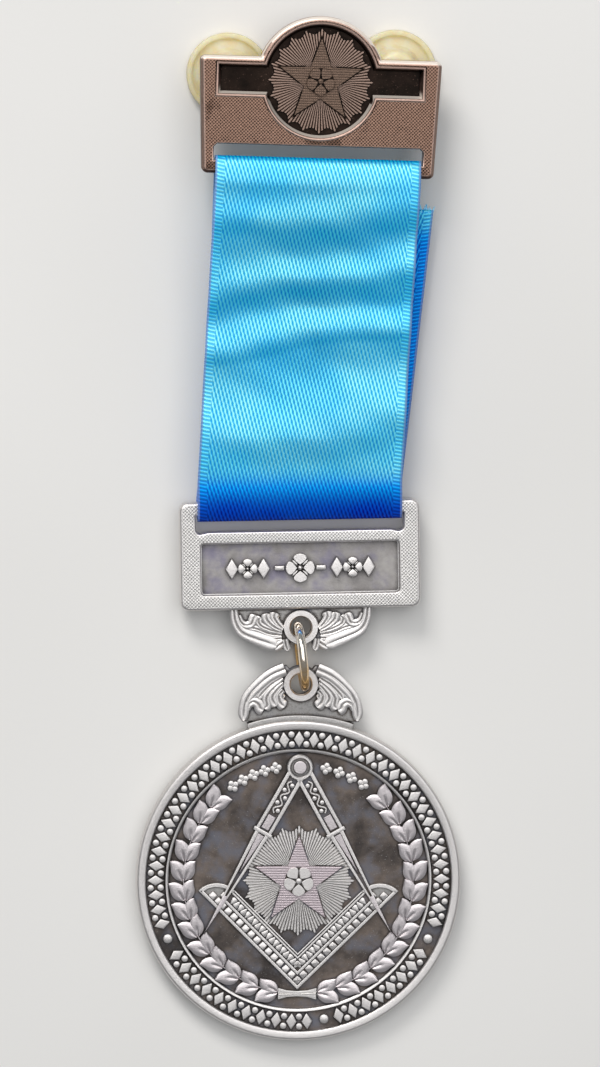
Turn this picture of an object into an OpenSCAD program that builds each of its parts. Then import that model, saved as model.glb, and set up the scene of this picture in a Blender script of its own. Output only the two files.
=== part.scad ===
// Jewel of a lodge: a brooch bar, a folded ribbon, a lower bar and a round medal on a jump ring.
// It lies face up. X runs across it, Y up its length and Z up from the surface it lies on.
// The origin is under the middle of the whole jewel.

/* [Medal] */
// Diameter of the medal
medal_d = 50; // [44:1:60]
// Thickness of the medal at its rim
medal_t = 3; // [2.8:0.1:4]
// Width of the raised rim
rim_w = 1.45; // [1:0.05:2]
// Width of the ornament band inside the rim
band_w = 2.95; // [2.6:0.05:3.6]
// Width of the ring inside the ornament band
inner_ring_w = 0.55; // [0.4:0.05:1.2]
// Thickness of the plate under the relief
field_t = 2.1; // [1.6:0.1:2.3]
// Turn of the medal on the surface, in degrees
medal_turn = -0.6; // [-3:0.1:3]

/* [Relief of the medal] */
// Height of the inner ring and of the border ornament over the plate
border_h = 0.55; // [0.3:0.05:0.7]
// Height of the laurel leaves over the plate
leaf_h = 0.5; // [0.3:0.05:0.7]
// Height of the square over the plate
square_h = 0.55; // [0.4:0.05:0.65]
// Height of the compasses over the plate
compass_h = 0.85; // [0.7:0.05:1.1]
// Depth of the sunk panels in the square and the compasses
panel_sink = 0.25; // [0.15:0.05:0.3]
// Height of a lozenge in the border, across the band
lozenge_l = 2.3; // [1.4:0.1:2.4]
// Width of a lozenge in the border, along the band
lozenge_w = 1.5; // [0.8:0.1:1.6]
// Diameter of the three pellets in the border
pellet_d = 1.5; // [1:0.1:1.9]
// Diameter of the small pellets between the lozenges
small_pellet_d = 0.8; // [0.5:0.05:0.9]
// Diameter of a rosette beside the hinge of the compasses
rosette_d = 2.1; // [1.6:0.1:2.2]
// Length of a laurel leaf
leaf_l = 3; // [2.2:0.1:3.2]
// Width of a laurel leaf
leaf_w = 1.75; // [1.2:0.05:1.9]
// Width of the tie at the foot of the wreath
tie_w = 5.8; // [4:0.1:6.2]
// Diameter of the hinge of the compasses
hinge_d = 4; // [3.4:0.1:4.4]
// Width of a compass leg above its collar
leg_w = 2.7; // [2.2:0.1:3]
// Angle of a compass leg from upright
leg_angle = 29.2; // [27:0.2:31]
// Width of the arms of the square
arm_w = 4; // [3.4:0.1:4.1]
// Width of the raised borders of the square and the compasses
line_w = 0.55; // [0.4:0.05:0.65]

/* [Star] */
// Diameter of the sunburst over its longest rays
burst_d = 17.2; // [15:0.1:17.4]
// Number of rays in the sunburst
burst_rays = 70; // [50:10:80]
// Height of the sunburst
burst_h = 0.45; // [0.35:0.05:0.6]
// Depth of the grooves between the rays
ray_depth = 0.2; // [0.1:0.05:0.25]
// Diameter of the five-point star
star_d = 14.2; // [12:0.1:15]
// Height of the star over the plate
star_h = 0.65; // [0.6:0.05:0.8]
// Diameter of the five-petal rosette in the middle of the star
star_boss_d = 4.4; // [3:0.1:5]
// Height of that rosette over the plate
star_boss_h = 0.9; // [0.8:0.05:1.1]

/* [Tabs and eyelets] */
// Thickness of the tabs
tab_t = 1.8; // [1.4:0.1:2]
// How far the back of a tab is set in from the back of its plate
tab_set = 0.6; // [0.3:0.1:0.9]
// Height of the back of both tabs over the surface
tab_lift = 2.7; // [2.6:0.1:3]
// Height of the tab's relief over its ground
tab_relief = 0.5; // [0.3:0.05:0.7]
// Diameter of the eyelets
eyelet_d = 5.6; // [5:0.1:6.4]
// Diameter of the holes
hole_d = 3.2; // [3:0.1:3.6]
// Width of the medal's tab
medal_tab_w = 18.2; // [14:0.2:22]
// Distance from the medal's edge to the middle of its eyelet
medal_tab_reach = 5.6; // [4.6:0.1:7]
// Width of the lower bar's tab
date_tab_w = 20.7; // [16:0.1:26]
// Distance from the lower bar's edge to the middle of its eyelet
date_tab_reach = 2.9; // [2.8:0.1:4]

/* [Jump ring] */
// Outer diameter of the jump ring
ring_d = 10.8; // [10.4:0.1:11.4]
// Diameter of its wire
ring_wire = 1.4; // [1:0.1:1.5]
// Turn of the ring from the jewel's length, in degrees
ring_turn = 6; // [0:1:8]
// Width of the split in the ring, in degrees
ring_split = 2; // [1:1:6]

/* [Lower bar] */
// Width of the lower bar's legs beside the slot
date_leg_w = 2.45; // [2:0.05:6]
// Thickness of the lower bar
date_t = 3; // [2.6:0.1:4]
// Band under the panel
date_foot = 2.3; // [1.8:0.1:3]
// Height of the sunk panel
date_panel_h = 8; // [7:0.1:10]
// Width of the sunk panel
date_panel_w = 30.5; // [26:0.1:31]
// Band between the panel and the slot
date_band = 1.75; // [1.4:0.05:2.5]
// Depth of the sunk panel
date_sink = 1.3; // [0.8:0.1:1.6]
// Radius of the bar's corners
date_corner = 1.1; // [0.6:0.1:1.6]
// Turn of the lower bar on the surface, in degrees
date_turn = 0.8; // [-2:0.1:2]

/* [Ribbon] */
// Width of the ribbon
ribbon_w = 31.4; // [28:0.2:31.6]
// Thickness of the ribbon
ribbon_t = 1; // [0.8:0.1:1.4]
// Distance between the lower bar and the brooch bar
ribbon_run = 50.2; // [40:0.2:80]
// Length of the end that is turned in behind the brooch bar
tail_l = 12; // [8:1:18]
// Distance from the cut end behind to the brooch bar
end_drop = 4.6; // [3:0.1:8]
// How far the cut end behind stands out to the right
end_shift = 3; // [0:0.1:4]
// How far the front of the ribbon sags between the bars
front_sag = 1; // [0:0.1:1.6]
// Height of the soft waves in the front of the ribbon
wave_h = 0.22; // [0:0.02:0.4]
// Number of those waves
wave_count = 4; // [2:1:5]
// Length over which the front rolls down into the lower bar's slot
foot_roll_l = 6; // [3:0.5:8]
// How far that roll rises over the lower bar's face
foot_roll_h = 1.75; // [1.4:0.05:2]
// Length over which the front rolls into the brooch bar's slot
head_roll_l = 4.2; // [3:0.1:6]
// How far that roll rises over the brooch bar's face
head_roll_h = 1.1; // [1.1:0.05:1.6]
// Rails that the ribbon goes round
rail_w = 2; // [1.6:0.1:3]
// Open gap left beside the ribbon in each slot
slot_gap = 1.4; // [1:0.1:2]

/* [Brooch bar] */
// Width of the bar's legs beside the slot, measured at the bar's top
brooch_leg_w = 2.45; // [2.2:0.05:7]
// How much narrower the bar is at the ends of its legs
brooch_taper = 1.4; // [0:0.1:1.5]
// Thickness of the brooch bar
brooch_t = 3; // [2.6:0.1:4]
// Height of the bar above its slot
brooch_body_h = 13.4; // [12.6:0.1:18]
// Diameter of the arch round the medallion
arch_d = 19.7; // [19:0.1:20.5]
// Width of the arch
arch_w = 1.25; // [0.9:0.05:1.6]
// Gap between the sunburst of the medallion and its wall
medallion_gap = 0.6; // [0.4:0.1:1.2]
// Distance from the bar's top edge down to the middle of the medallion
medallion_drop = 3.5; // [3:0.1:4]
// Depth of the medallion and of the channels beside it
brooch_sink = 1.3; // [1:0.1:1.6]
// Height of the channels
channel_h = 4.4; // [3.4:0.1:5]
// Distance from the end of a channel to the bar's side
channel_end = 2.9; // [2.4:0.1:4]
// Radius of the bar's corners
brooch_corner = 0.9; // [0.5:0.1:1.3]
// Turn of the brooch bar on the surface, in degrees
brooch_turn = -1.9; // [-3:0.1:3]
// How far the brooch bar lies to the right of the medal's middle
brooch_shift = 2.6; // [-3:0.1:3]

/* [Posts and clutches] */
// Distance of the left post from the middle of the bar
post_left = 13.8; // [11:0.1:15]
// Distance of the right post from the middle of the bar
post_right = 11.8; // [11:0.1:15]
// Distance of the left post from the bar's top edge
post_left_drop = 3.2; // [2.5:0.1:6]
// Distance of the right post from the bar's top edge
post_right_drop = 2; // [1.8:0.1:6]
// Diameter of the posts
post_d = 1.2; // [1:0.1:1.5]
// Height of the clutches
clutch_h = 6; // [5:0.1:8]
// Diameter of a clutch at its flange
clutch_d = 12.7; // [10:0.1:14]
// Thickness of the flange
flange_t = 1.5; // [1.2:0.1:2]
// Width of the raised edge round the flange
flange_lip_w = 0.9; // [0.5:0.1:1.2]
// How far that edge rises over the flange
flange_lip_h = 0.5; // [0.2:0.1:0.8]
// Diameter of the clutch's barrel at its top
barrel_d = 6.4; // [5:0.1:8]

/* [Hidden] */

// Clearances between pieces, and how deep one form of a casting goes into another
seat_gap = 0.15;
side_gap = 0.3;
root = 0.3;
edge = 0.3;
hinge_gap = 0.35;
rosette_gap = 1.05;
tab_foot = 0.6;
tab_crown = 0.7;
date_tab_foot = 0.4;
date_tab_drop = 4;
notch_h = 2.4;
// Where the ring is split, in degrees from its lowest point towards the lower bar
SPLIT_AT = 45;
round_fn = 96;
fine_fn = 32;

// Medal: radii worked out from its rim inwards
medal_r = medal_d / 2;
band_r = medal_r - rim_w - band_w / 2;
inner_ring_r = medal_r - rim_w - band_w;
field_r = inner_ring_r - inner_ring_w;
rosette_r = field_r - rosette_d / 2 - rosette_gap;
wreath_r = field_r - leaf_l * 0.77;
hinge_y = field_r - hinge_gap - hinge_d / 2;
square_tip = field_r * 0.85;
arm_l = field_r * 1.09;
collar_l = field_r * 0.565;
leg_l = field_r * 1.487;

// Arcs of border ornament. Columns: start and end angle
BORDER_ARCS = [[-17, 198], [212, 274], [287, 329]];
PELLET_ANGLES = [204.5, 281, 335.7];
// Arcs of rosettes beside the hinge. Columns: start and end angle, number
ROSETTE_ARCS = [[102, 125, 5], [57, 77, 4]];
LAUREL_PAIRS = 14;
LAUREL_START = -80;
LAUREL_PITCH = 9.3;
LAUREL_SPLAY_OUT = 38;
LAUREL_SPLAY_IN = 28;

// Lobes on the tabs. Columns: place across and up as shares of half the tab's width and of its height,
// angle of the lobe, its length and width as shares of half the tab's width
MEDAL_TAB_POWER = 2.05;
DATE_TAB_POWER = 2.5;
TAB_LOBES = [[0.38, 0.62, -28, 0.52, 0.17], [0.42, 0.42, -40, 0.46, 0.17], [0.45, 0.22, -58, 0.36, 0.16]];
// Row of raised ornament in the panel of the lower bar. Columns: place across as a share of half the
// panel's width, height as a share of the panel's height, and the kind: 0 rosette, 1 lozenge, 2 dash
PANEL_ROW = [[0, 0.55, 0], [0.21, 0.1, 2], [0.37, 0.4, 1], [0.53, 0.36, 0], [0.69, 0.4, 1]];

// Heights and places up the jewel, measured from the middle of the medal
medal_hole_y = medal_r + medal_tab_reach;
medal_tilt = asin((tab_lift - tab_set) / (medal_r + medal_hole_y));
ring_r = (ring_d - ring_wire) / 2;
ring_z = ring_d / 2;
hole_to_ring = sqrt(pow(ring_r, 2) - pow(ring_z - tab_lift - tab_t / 2, 2));
medal_hole_x = medal_hole_y * -sin(medal_turn);
ring_y = medal_hole_y * cos(medal_turn) + hole_to_ring;
date_hole_y = ring_y + hole_to_ring;
date_z = tab_lift - tab_set;
slot_h = seat_gap + ribbon_t + slot_gap;
slot_w = ribbon_w + side_gap * 2;
date_w = slot_w + date_leg_w * 2;
brooch_w = slot_w + brooch_leg_w * 2;
date_slot_y = date_tab_reach + date_foot + date_panel_h + date_band;
date_rail_y = date_slot_y + slot_h;
date_top_y = date_rail_y + rail_w;
date_h = date_top_y - date_tab_reach;
brooch_y = date_hole_y + date_top_y + ribbon_run;
brooch_z = clutch_h + seat_gap;
brooch_h = rail_w + slot_h + brooch_body_h;
medallion_y = brooch_h - medallion_drop;
medallion_r = arch_d / 2 - arch_w;
top_y = brooch_y + (medallion_y + arch_d / 2) * cos(brooch_turn);
middle_y = (top_y - medal_r) / 2;
POSTS = [[-post_left, brooch_h - post_left_drop], [post_right, brooch_h - post_right_drop]];

// A point of the lower bar or of the brooch bar, turned to its place on the surface
function date_place(p) = [medal_hole_x - p[1] * sin(date_turn), date_hole_y + p[1] * cos(date_turn)];
function brooch_place(p) = [brooch_shift - p[1] * sin(brooch_turn), brooch_y + p[1] * cos(brooch_turn)];

// Points of a rounded corner about a centre, from one angle to another
function corner(x, y, r, from, to) =
    [for (i = [0 : 5]) let (a = from + (to - from) * i / 5) [x + r * cos(a), y + r * sin(a)]];

// The upper half of a superellipse, from its right end to its left end
function dome(a, b, power) =
    [for (t = [0 : 6 : 180]) [a * sign(cos(t)) * pow(abs(cos(t)), 2 / power), b * pow(sin(t), 2 / power)]];

// Flat shapes that the relief repeats

// Pointed oval from the origin along X
module leaf_shape(l, w) {
    r = (l * l + w * w) / (4 * w);
    translate([l / 2, 0]) intersection() {
        translate([0, r - w / 2]) circle(r, $fn = round_fn);
        translate([0, w / 2 - r]) circle(r, $fn = round_fn);
    }
}

module lozenge_shape(w, l) {
    polygon([[w / 2, 0], [0, l / 2], [-w / 2, 0], [0, -l / 2]]);
}

// Round petals about the origin
module rosette_shape(d, petals) {
    petal_r = d * (petals == 4 ? 0.27 : 0.22);
    for (i = [0 : petals - 1])
        rotate(90 + 360 * i / petals)
            translate([d / 2 - petal_r, 0]) circle(petal_r, $fn = fine_fn);
    circle(petal_r * 0.8, $fn = fine_fn);
}

module star_shape(r, inner_share) {
    polygon([for (i = [0 : 9]) let (q = i % 2 == 0 ? r : r * inner_share)
        [q * sin(i * 36), q * cos(i * 36)]]);
}

// Standing on the X axis, h high, with a foot and a top of their own widths
module rounded_box_shape(foot, top, h, r) {
    polygon(concat(
        corner(r - foot / 2, r, r, 180, 270), corner(foot / 2 - r, r, r, 270, 360),
        corner(top / 2 - r, h - r, r, 0, 90), corner(r - top / 2, h - r, r, 90, 180)));
}

// Puts copies along an arc about the origin, upright to it
module along_arc(r, from, to, count) {
    for (i = [0 : count - 1])
        rotate(from + (to - from) * i / max(1, count - 1) - 90) translate([0, r]) children();
}

// A raised form on a plate whose top is at z
module raised(z, h) {
    translate([0, 0, z - root]) linear_extrude(h + root) children();
}

// Sunburst on a plate whose top is at z: ridges with grooves between them, in ten lobes
module sunburst(z, d) {
    n = burst_rays;
    lobe = 0.07;
    notch = 0.05;
    function ray_r(i) = d / 2 * (1 - lobe * (1 - abs(cos(1800 * i / (2 * n)))) - (i % 2) * notch);
    rim_pts = [for (i = [0 : 2 * n - 1]) [ray_r(i) * sin(180 * i / n), ray_r(i) * cos(180 * i / n)]];
    tops = [for (i = [0 : 2 * n - 1]) [rim_pts[i][0], rim_pts[i][1], z + burst_h - (i % 2) * ray_depth]];
    feet = [for (p = rim_pts) [p[0], p[1], z - root]];
    polyhedron(
        points = concat(tops, feet, [[0, 0, z + burst_h], [0, 0, z - root]]),
        faces = concat(
            [for (i = [0 : 2 * n - 1]) [i, (i + 1) % (2 * n), 4 * n]],
            [for (i = [0 : 2 * n - 1]) [(i + 1) % (2 * n), i, 2 * n + i]],
            [for (i = [0 : 2 * n - 1]) [(i + 1) % (2 * n), 2 * n + i, 2 * n + (i + 1) % (2 * n)]],
            [for (i = [0 : 2 * n - 1]) [2 * n + (i + 1) % (2 * n), 2 * n + i, 4 * n + 1]]
        ));
}

// Sunburst, five-point star and middle rosette, shared by the medal and the brooch bar
module star_group(z, d) {
    star = star_d * d / burst_d;
    sunburst(z, d);
    raised(z, star_h) star_shape(star / 2, 0.43);
    raised(z, star_boss_h) rotate(36) rosette_shape(star_boss_d, 5);
}

// Turned plate of the medal, with its rim and inner ring
module medal_plate() {
    rotate_extrude($fn = round_fn * 2) polygon([
        [0, 0], [medal_r - edge, 0], [medal_r, edge], [medal_r, medal_t - edge], [medal_r - edge, medal_t],
        [medal_r - rim_w + edge, medal_t], [medal_r - rim_w, medal_t - edge], [medal_r - rim_w, field_t],
        [inner_ring_r, field_t], [inner_ring_r, field_t + border_h],
        [field_r, field_t + border_h], [field_r, field_t], [0, field_t]]);
}

// Lozenges with pairs of pellets between them, in three arcs, and a large pellet between the arcs
module medal_border() {
    pitch = lozenge_w * 1.5;
    for (arc = BORDER_ARCS) {
        count = floor((arc[1] - arc[0]) * PI / 180 * band_r / pitch);
        half = (arc[1] - arc[0]) / count / 2;
        raised(field_t, border_h)
            along_arc(band_r, arc[0], arc[1], count + 1) lozenge_shape(lozenge_w, lozenge_l);
        raised(field_t, border_h) along_arc(band_r, arc[0] + half, arc[1] - half, count)
            for (s = [-1, 1])
                translate([0, s * lozenge_l * 0.3]) circle(small_pellet_d / 2, $fn = fine_fn);
    }
    for (a = PELLET_ANGLES)
        rotate(a) translate([band_r, 0, field_t - root])
            cylinder(h = border_h + root, d = pellet_d, $fn = fine_fn);
    for (arc = ROSETTE_ARCS)
        raised(field_t, leaf_h)
            along_arc(rosette_r, arc[0], arc[1], arc[2]) rosette_shape(rosette_d * 0.86, 4);
}

// One branch of laurel, from the tie up the right side
module laurel_branch() {
    raised(field_t, leaf_h) for (i = [0 : LAUREL_PAIRS - 1])
        rotate(LAUREL_START + i * LAUREL_PITCH) for (s = [-1, 1])
            translate([wreath_r + s * line_w / 4, 0])
                rotate(s > 0 ? 90 - LAUREL_SPLAY_OUT : 90 + LAUREL_SPLAY_IN) leaf_shape(leaf_l, leaf_w);
}

module wreath() {
    laurel_branch();
    mirror([1, 0, 0]) laurel_branch();
    waist = tie_w * 0.11;
    raised(field_t, leaf_h) translate([0, -wreath_r]) polygon([
        [-tie_w / 2, -waist * 1.5], [-tie_w / 4, -waist], [tie_w / 4, -waist], [tie_w / 2, -waist * 1.5],
        [tie_w / 2, waist * 1.5], [tie_w / 4, waist], [-tie_w / 4, waist], [-tie_w / 2, waist * 1.5]]);
}

// Outline of the square's two arms, set in from the outer edge by cut, with quarter-round ends
module square_shape(cut, w) {
    reach = arm_l - cut;
    for (s = [-1, 1]) translate([0, -square_tip + cut * sqrt(2)]) mirror([s < 0 ? 1 : 0, 0])
        rotate(45) intersection() {
            square([reach, w]);
            union() {
                square([reach - w, w]);
                translate([reach - w, 0]) circle(w, $fn = round_fn);
            }
        }
}

module square_tool() {
    raised(field_t, square_h - panel_sink) square_shape(0, arm_w);
    raised(field_t, square_h) difference() {
        square_shape(0, arm_w);
        square_shape(line_w, arm_w * 0.3);
        square_shape(line_w * 2 + arm_w * 0.3, arm_w - line_w * 3 - arm_w * 0.3);
    }
    pitch = arm_w * 0.34;
    raised(field_t, square_h) for (s = [-1, 1], i = [0 : floor((arm_l - arm_w) / pitch)])
        translate([0, -square_tip]) mirror([s < 0 ? 1 : 0, 0]) rotate(45)
            translate([line_w + arm_w * 0.15 + i * pitch, line_w + arm_w * 0.15])
                circle(arm_w * 0.125, $fn = fine_fn);
}

// One leg of the compasses, hanging from the hinge, with its panels left out
module leg_shape(w, top, collar, tip) {
    translate([-w / 2, -collar]) square([w, collar - top]);
    polygon([[-w * 0.42, -collar], [w * 0.42, -collar], [w * 0.05, -tip], [-w * 0.05, -tip]]);
}

module compasses() {
    for (s = [-1, 1]) translate([0, hinge_y]) rotate(s * leg_angle) {
        raised(field_t, compass_h - panel_sink) leg_shape(leg_w, hinge_d / 4, collar_l, leg_l);
        raised(field_t, compass_h) difference() {
            leg_shape(leg_w, hinge_d / 4, collar_l, leg_l);
            translate([-leg_w / 2 + line_w, -collar_l + line_w])
                square([leg_w - line_w * 2, collar_l * 0.62]);
            polygon([[-leg_w * 0.2, -collar_l - line_w * 2], [leg_w * 0.2, -collar_l - line_w * 2],
                [0, -collar_l - leg_l * 0.3]]);
        }
        raised(field_t, compass_h)
            translate([-leg_w * 0.6, -collar_l - line_w]) square([leg_w * 1.2, line_w * 1.8]);
        for (i = [0 : 3]) raised(field_t, compass_h - panel_sink / 3)
            translate([0, -collar_l * (0.44 + i * 0.14)]) circle(leg_w * 0.16, $fn = fine_fn);
    }
    difference() {
        raised(field_t, compass_h) translate([0, hinge_y]) circle(hinge_d / 2, $fn = fine_fn);
        translate([0, hinge_y, field_t + compass_h - panel_sink])
            cylinder(h = panel_sink * 2, d = hinge_d - line_w * 2, $fn = fine_fn);
    }
    raised(field_t, compass_h) translate([0, hinge_y]) circle(hinge_d * 0.27, $fn = fine_fn);
}

// Leafy lobes of a tab, both sides, raised off its ground
module tab_lobes(half_w, h, up) {
    for (s = [-1, 1], lobe = TAB_LOBES)
        translate([s * lobe[0] * half_w, up * lobe[1] * h])
            rotate(s > 0 ? up * lobe[2] : 180 - up * lobe[2])
                translate([-lobe[3] * half_w / 2, 0]) leaf_shape(lobe[3] * half_w, lobe[4] * half_w * 1.3);
}

// A tab with an eyelet, drawn up from the edge of its plate at y = 0; up is -1 for one that hangs down
module tab(half_w, h, reach, power, up, foot) {
    outline = [for (p = dome(half_w, h, power)) [p[0], up * p[1]]];
    inner = [for (p = dome(half_w - line_w * 1.7, h - line_w * 2, power)) [p[0], up * p[1]]];
    base = [[-half_w, -up * foot], [half_w, -up * foot]];
    inner_base = [[-half_w + line_w * 1.7, -up * foot * 2], [half_w - line_w * 1.7, -up * foot * 2]];
    difference() {
        union() {
            linear_extrude(tab_t - tab_relief) union() {
                polygon(concat(outline, base));
                translate([0, up * reach]) circle(eyelet_d / 2, $fn = fine_fn);
            }
            linear_extrude(tab_t) union() {
                difference() {
                    polygon(concat(outline, base));
                    polygon(concat(inner, inner_base));
                }
                tab_lobes(half_w, h, up);
                translate([0, up * reach]) circle(eyelet_d / 2, $fn = fine_fn);
            }
        }
        translate([0, up * reach, -1]) cylinder(h = tab_t + 2, d = hole_d, $fn = fine_fn);
    }
}

module medal() {
    color("silver") translate([0, -middle_y, 0]) rotate(medal_turn)
        translate([0, -medal_r, 0]) rotate([medal_tilt, 0, 0]) translate([0, medal_r, 0]) {
            medal_plate();
            medal_border();
            wreath();
            star_group(field_t, burst_d);
            square_tool();
            compasses();
            translate([0, medal_r - tab_foot, tab_set])
                tab(medal_tab_w / 2, medal_tab_reach + eyelet_d / 2 + tab_crown, medal_tab_reach + tab_foot,
                    MEDAL_TAB_POWER, 1, date_tab_foot);
        }
}

module jump_ring() {
    color("gainsboro") translate([medal_hole_x, ring_y - middle_y, ring_z]) rotate(ring_turn)
        rotate([0, 90, 0]) rotate([0, 0, SPLIT_AT + ring_split / 2])
            rotate_extrude(angle = 360 - ring_split, $fn = round_fn)
                translate([ring_r, 0]) circle(ring_wire / 2, $fn = fine_fn);
}

// Frame of the lower bar with its slot; y = 0 is the middle of the eyelet
module date_frame() {
    difference() {
        linear_extrude(date_t) difference() {
            translate([0, date_tab_reach]) rounded_box_shape(date_w, date_w, date_h, date_corner);
            translate([-slot_w / 2, date_slot_y]) square([slot_w, slot_h]);
        }
        translate([0, date_tab_reach + date_foot, date_t - date_sink])
            linear_extrude(date_t) rounded_box_shape(date_panel_w, date_panel_w, date_panel_h, edge * 2);
    }
}

module date_row() {
    for (item = PANEL_ROW, s = item[0] == 0 ? [1] : [-1, 1])
        translate([s * item[0] * date_panel_w / 2, date_tab_reach + date_foot + date_panel_h / 2])
            raised(date_t - date_sink, date_sink * 0.7) {
                if (item[2] == 0) rosette_shape(item[1] * date_panel_h, 4);
                if (item[2] == 1) lozenge_shape(item[1] * date_panel_h * 0.62, item[1] * date_panel_h);
                if (item[2] == 2) square([date_panel_w * 0.05, item[1] * date_panel_h * 0.8], center = true);
            }
}

module date_bar() {
    color("silver") translate([medal_hole_x, date_hole_y - middle_y, date_z]) rotate(date_turn) {
        date_frame();
        date_row();
        translate([0, date_tab_reach + date_tab_foot, tab_set]) difference() {
            tab(date_tab_w / 2, date_tab_reach + date_tab_drop, date_tab_reach + date_tab_foot,
                DATE_TAB_POWER, -1, date_tab_foot);
            translate([0, -date_tab_reach - date_tab_foot - eyelet_d / 2, -1]) tab_notch();
        }
    }
}

// The notch between the two leaf tips under the eyelet of the lower bar, measured from the eyelet's foot
module tab_notch() {
    translate([-eyelet_d * 0.3, -notch_h]) linear_extrude(tab_t + 2) square([eyelet_d * 0.6, notch_h]);
}

// Rings of the ribbon. Each is [x, y, z, turn, normal y, normal z, share up the front], from the cut end
// behind, down the back, round the rail of the lower bar, up the front, round the rail of the brooch bar and
// down behind. The share is 0 off the front.
wrap_r = seat_gap + ribbon_t / 2;
slot_r = wrap_r + side_gap;
function date_ring(y, z, a) = concat(date_place([0, y]), [z, date_turn, cos(a), sin(a), 0]);
function brooch_ring(y, z, a) = concat(brooch_place([0, y]), [z, brooch_turn, cos(a), sin(a), 0]);
function between(p, q, s) = p * (1 - s) + q * s;

// Angle of the normal of an ellipse at angle a
function normal_of(a, half_l, half_h) = atan2(sin(a) / half_h, cos(a) / half_l);

back_foot = date_ring(date_top_y, date_z - wrap_r, -90);
back_end = [brooch_shift - 0.6 + end_shift, brooch_y - end_drop,
    brooch_z - wrap_r - ribbon_t - side_gap * 1.5, brooch_turn - 1.8, 0, -1, 0];
foot_y = date_rail_y - slot_r + foot_roll_l;
head_y = rail_w + slot_r - head_roll_l;
front_foot = date_ring(foot_y, date_z + date_t + foot_roll_h, 90);
front_head = brooch_ring(head_y, brooch_z + brooch_t + head_roll_h, 90);
tail_head = brooch_ring(0, brooch_z - wrap_r, -90);
tail_end = tail_head - [0, tail_l, side_gap * 1.5, 0, 0, 0, 0];
FRONT_STEPS = 26;

ribbon_rings = concat(
    [for (i = [0 : 7]) between(back_end, back_foot, i / 7)],
    [for (a = [-90 : -30 : -180])
        date_ring(date_rail_y + slot_r * cos(a), date_z + wrap_r * sin(a), a)],
    [for (a = [180 : -15 : 105])
        date_ring(foot_y + foot_roll_l * cos(a), date_z + date_t + foot_roll_h * sin(a),
            normal_of(a, foot_roll_l, foot_roll_h))],
    [for (i = [0 : FRONT_STEPS]) let (s = i / FRONT_STEPS)
        between(front_foot, front_head, s) + [0, 0, -front_sag * pow(sin(180 * s), 2), 0, 0, 0, s]],
    [for (a = [75 : -15 : 0])
        brooch_ring(head_y + head_roll_l * cos(a), brooch_z + brooch_t + head_roll_h * sin(a),
            normal_of(a, head_roll_l, head_roll_h))],
    [for (a = [0 : -30 : -90])
        brooch_ring(rail_w + slot_r * cos(a), brooch_z + wrap_r * sin(a), a)],
    [for (i = [1 : 4]) between(tail_head, tail_end, i / 4)]);
COLUMNS = 8;

// Height of the soft diagonal waves at share s up the front and share u across it
function wave(s, u) = wave_h * sin(180 * s) * sin(360 * (wave_count * s - 0.15 * u));
function ribbon_point(i, u, side) =
    let (g = ribbon_rings[i], across = u * ribbon_w, h = side * ribbon_t / 2)
    [g[0] + across * cos(g[3]) - g[4] * h * sin(g[3]), g[1] + across * sin(g[3]) + g[4] * h * cos(g[3]),
        g[2] + g[5] * h + wave(g[6], u)];

module ribbon() {
    n = len(ribbon_rings);
    m = COLUMNS;
    pts = [for (i = [0 : n - 1], side = [1, -1], j = [0 : m]) ribbon_point(i, j / m - 0.5, side)];
    function at(i, side, j) = i * 2 * (m + 1) + side * (m + 1) + j;
    upper = [for (i = [0 : n - 2], j = [0 : m - 1])
        [at(i, 0, j), at(i, 0, j + 1), at(i + 1, 0, j + 1), at(i + 1, 0, j)]];
    lower = [for (i = [0 : n - 2], j = [0 : m - 1])
        [at(i, 1, j), at(i + 1, 1, j), at(i + 1, 1, j + 1), at(i, 1, j + 1)]];
    left = [for (i = [0 : n - 2]) [at(i, 0, 0), at(i + 1, 0, 0), at(i + 1, 1, 0), at(i, 1, 0)]];
    right = [for (i = [0 : n - 2]) [at(i, 0, m), at(i, 1, m), at(i + 1, 1, m), at(i + 1, 0, m)]];
    first = [for (j = [0 : m - 1]) [at(0, 0, j), at(0, 1, j), at(0, 1, j + 1), at(0, 0, j + 1)]];
    last = [for (j = [0 : m - 1])
        [at(n - 1, 0, j), at(n - 1, 0, j + 1), at(n - 1, 1, j + 1), at(n - 1, 1, j)]];
    color("dodgerblue") translate([0, -middle_y, 0])
        polyhedron(points = pts, faces = concat(upper, lower, left, right, first, last));
}

// Outline of the brooch bar: legs, body and arch, with the ribbon's slot; y = 0 is the ends of the legs
module brooch_outline() {
    difference() {
        union() {
            rounded_box_shape(brooch_w - brooch_taper, brooch_w, brooch_h, brooch_corner);
            translate([0, medallion_y]) circle(arch_d / 2, $fn = round_fn);
        }
        translate([-slot_w / 2, rail_w]) square([slot_w, slot_h]);
    }
}

module brooch_bar() {
    floor_z = brooch_t - brooch_sink;
    color("rosybrown") translate([brooch_shift, brooch_y - middle_y, brooch_z]) rotate(brooch_turn) {
        difference() {
            linear_extrude(brooch_t) brooch_outline();
            translate([0, 0, floor_z]) linear_extrude(brooch_t) union() {
                translate([0, medallion_y]) circle(medallion_r, $fn = round_fn);
                translate([-brooch_w / 2 + channel_end, medallion_y - channel_h / 2])
                    square([brooch_w - channel_end * 2, channel_h]);
            }
        }
        translate([0, medallion_y, 0]) star_group(floor_z, medallion_r * 2 - medallion_gap * 2);
        for (p = POSTS)
            translate([p[0], p[1], -clutch_h + flange_t]) cylinder(h = clutch_h, d = post_d, $fn = fine_fn);
    }
}

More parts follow.
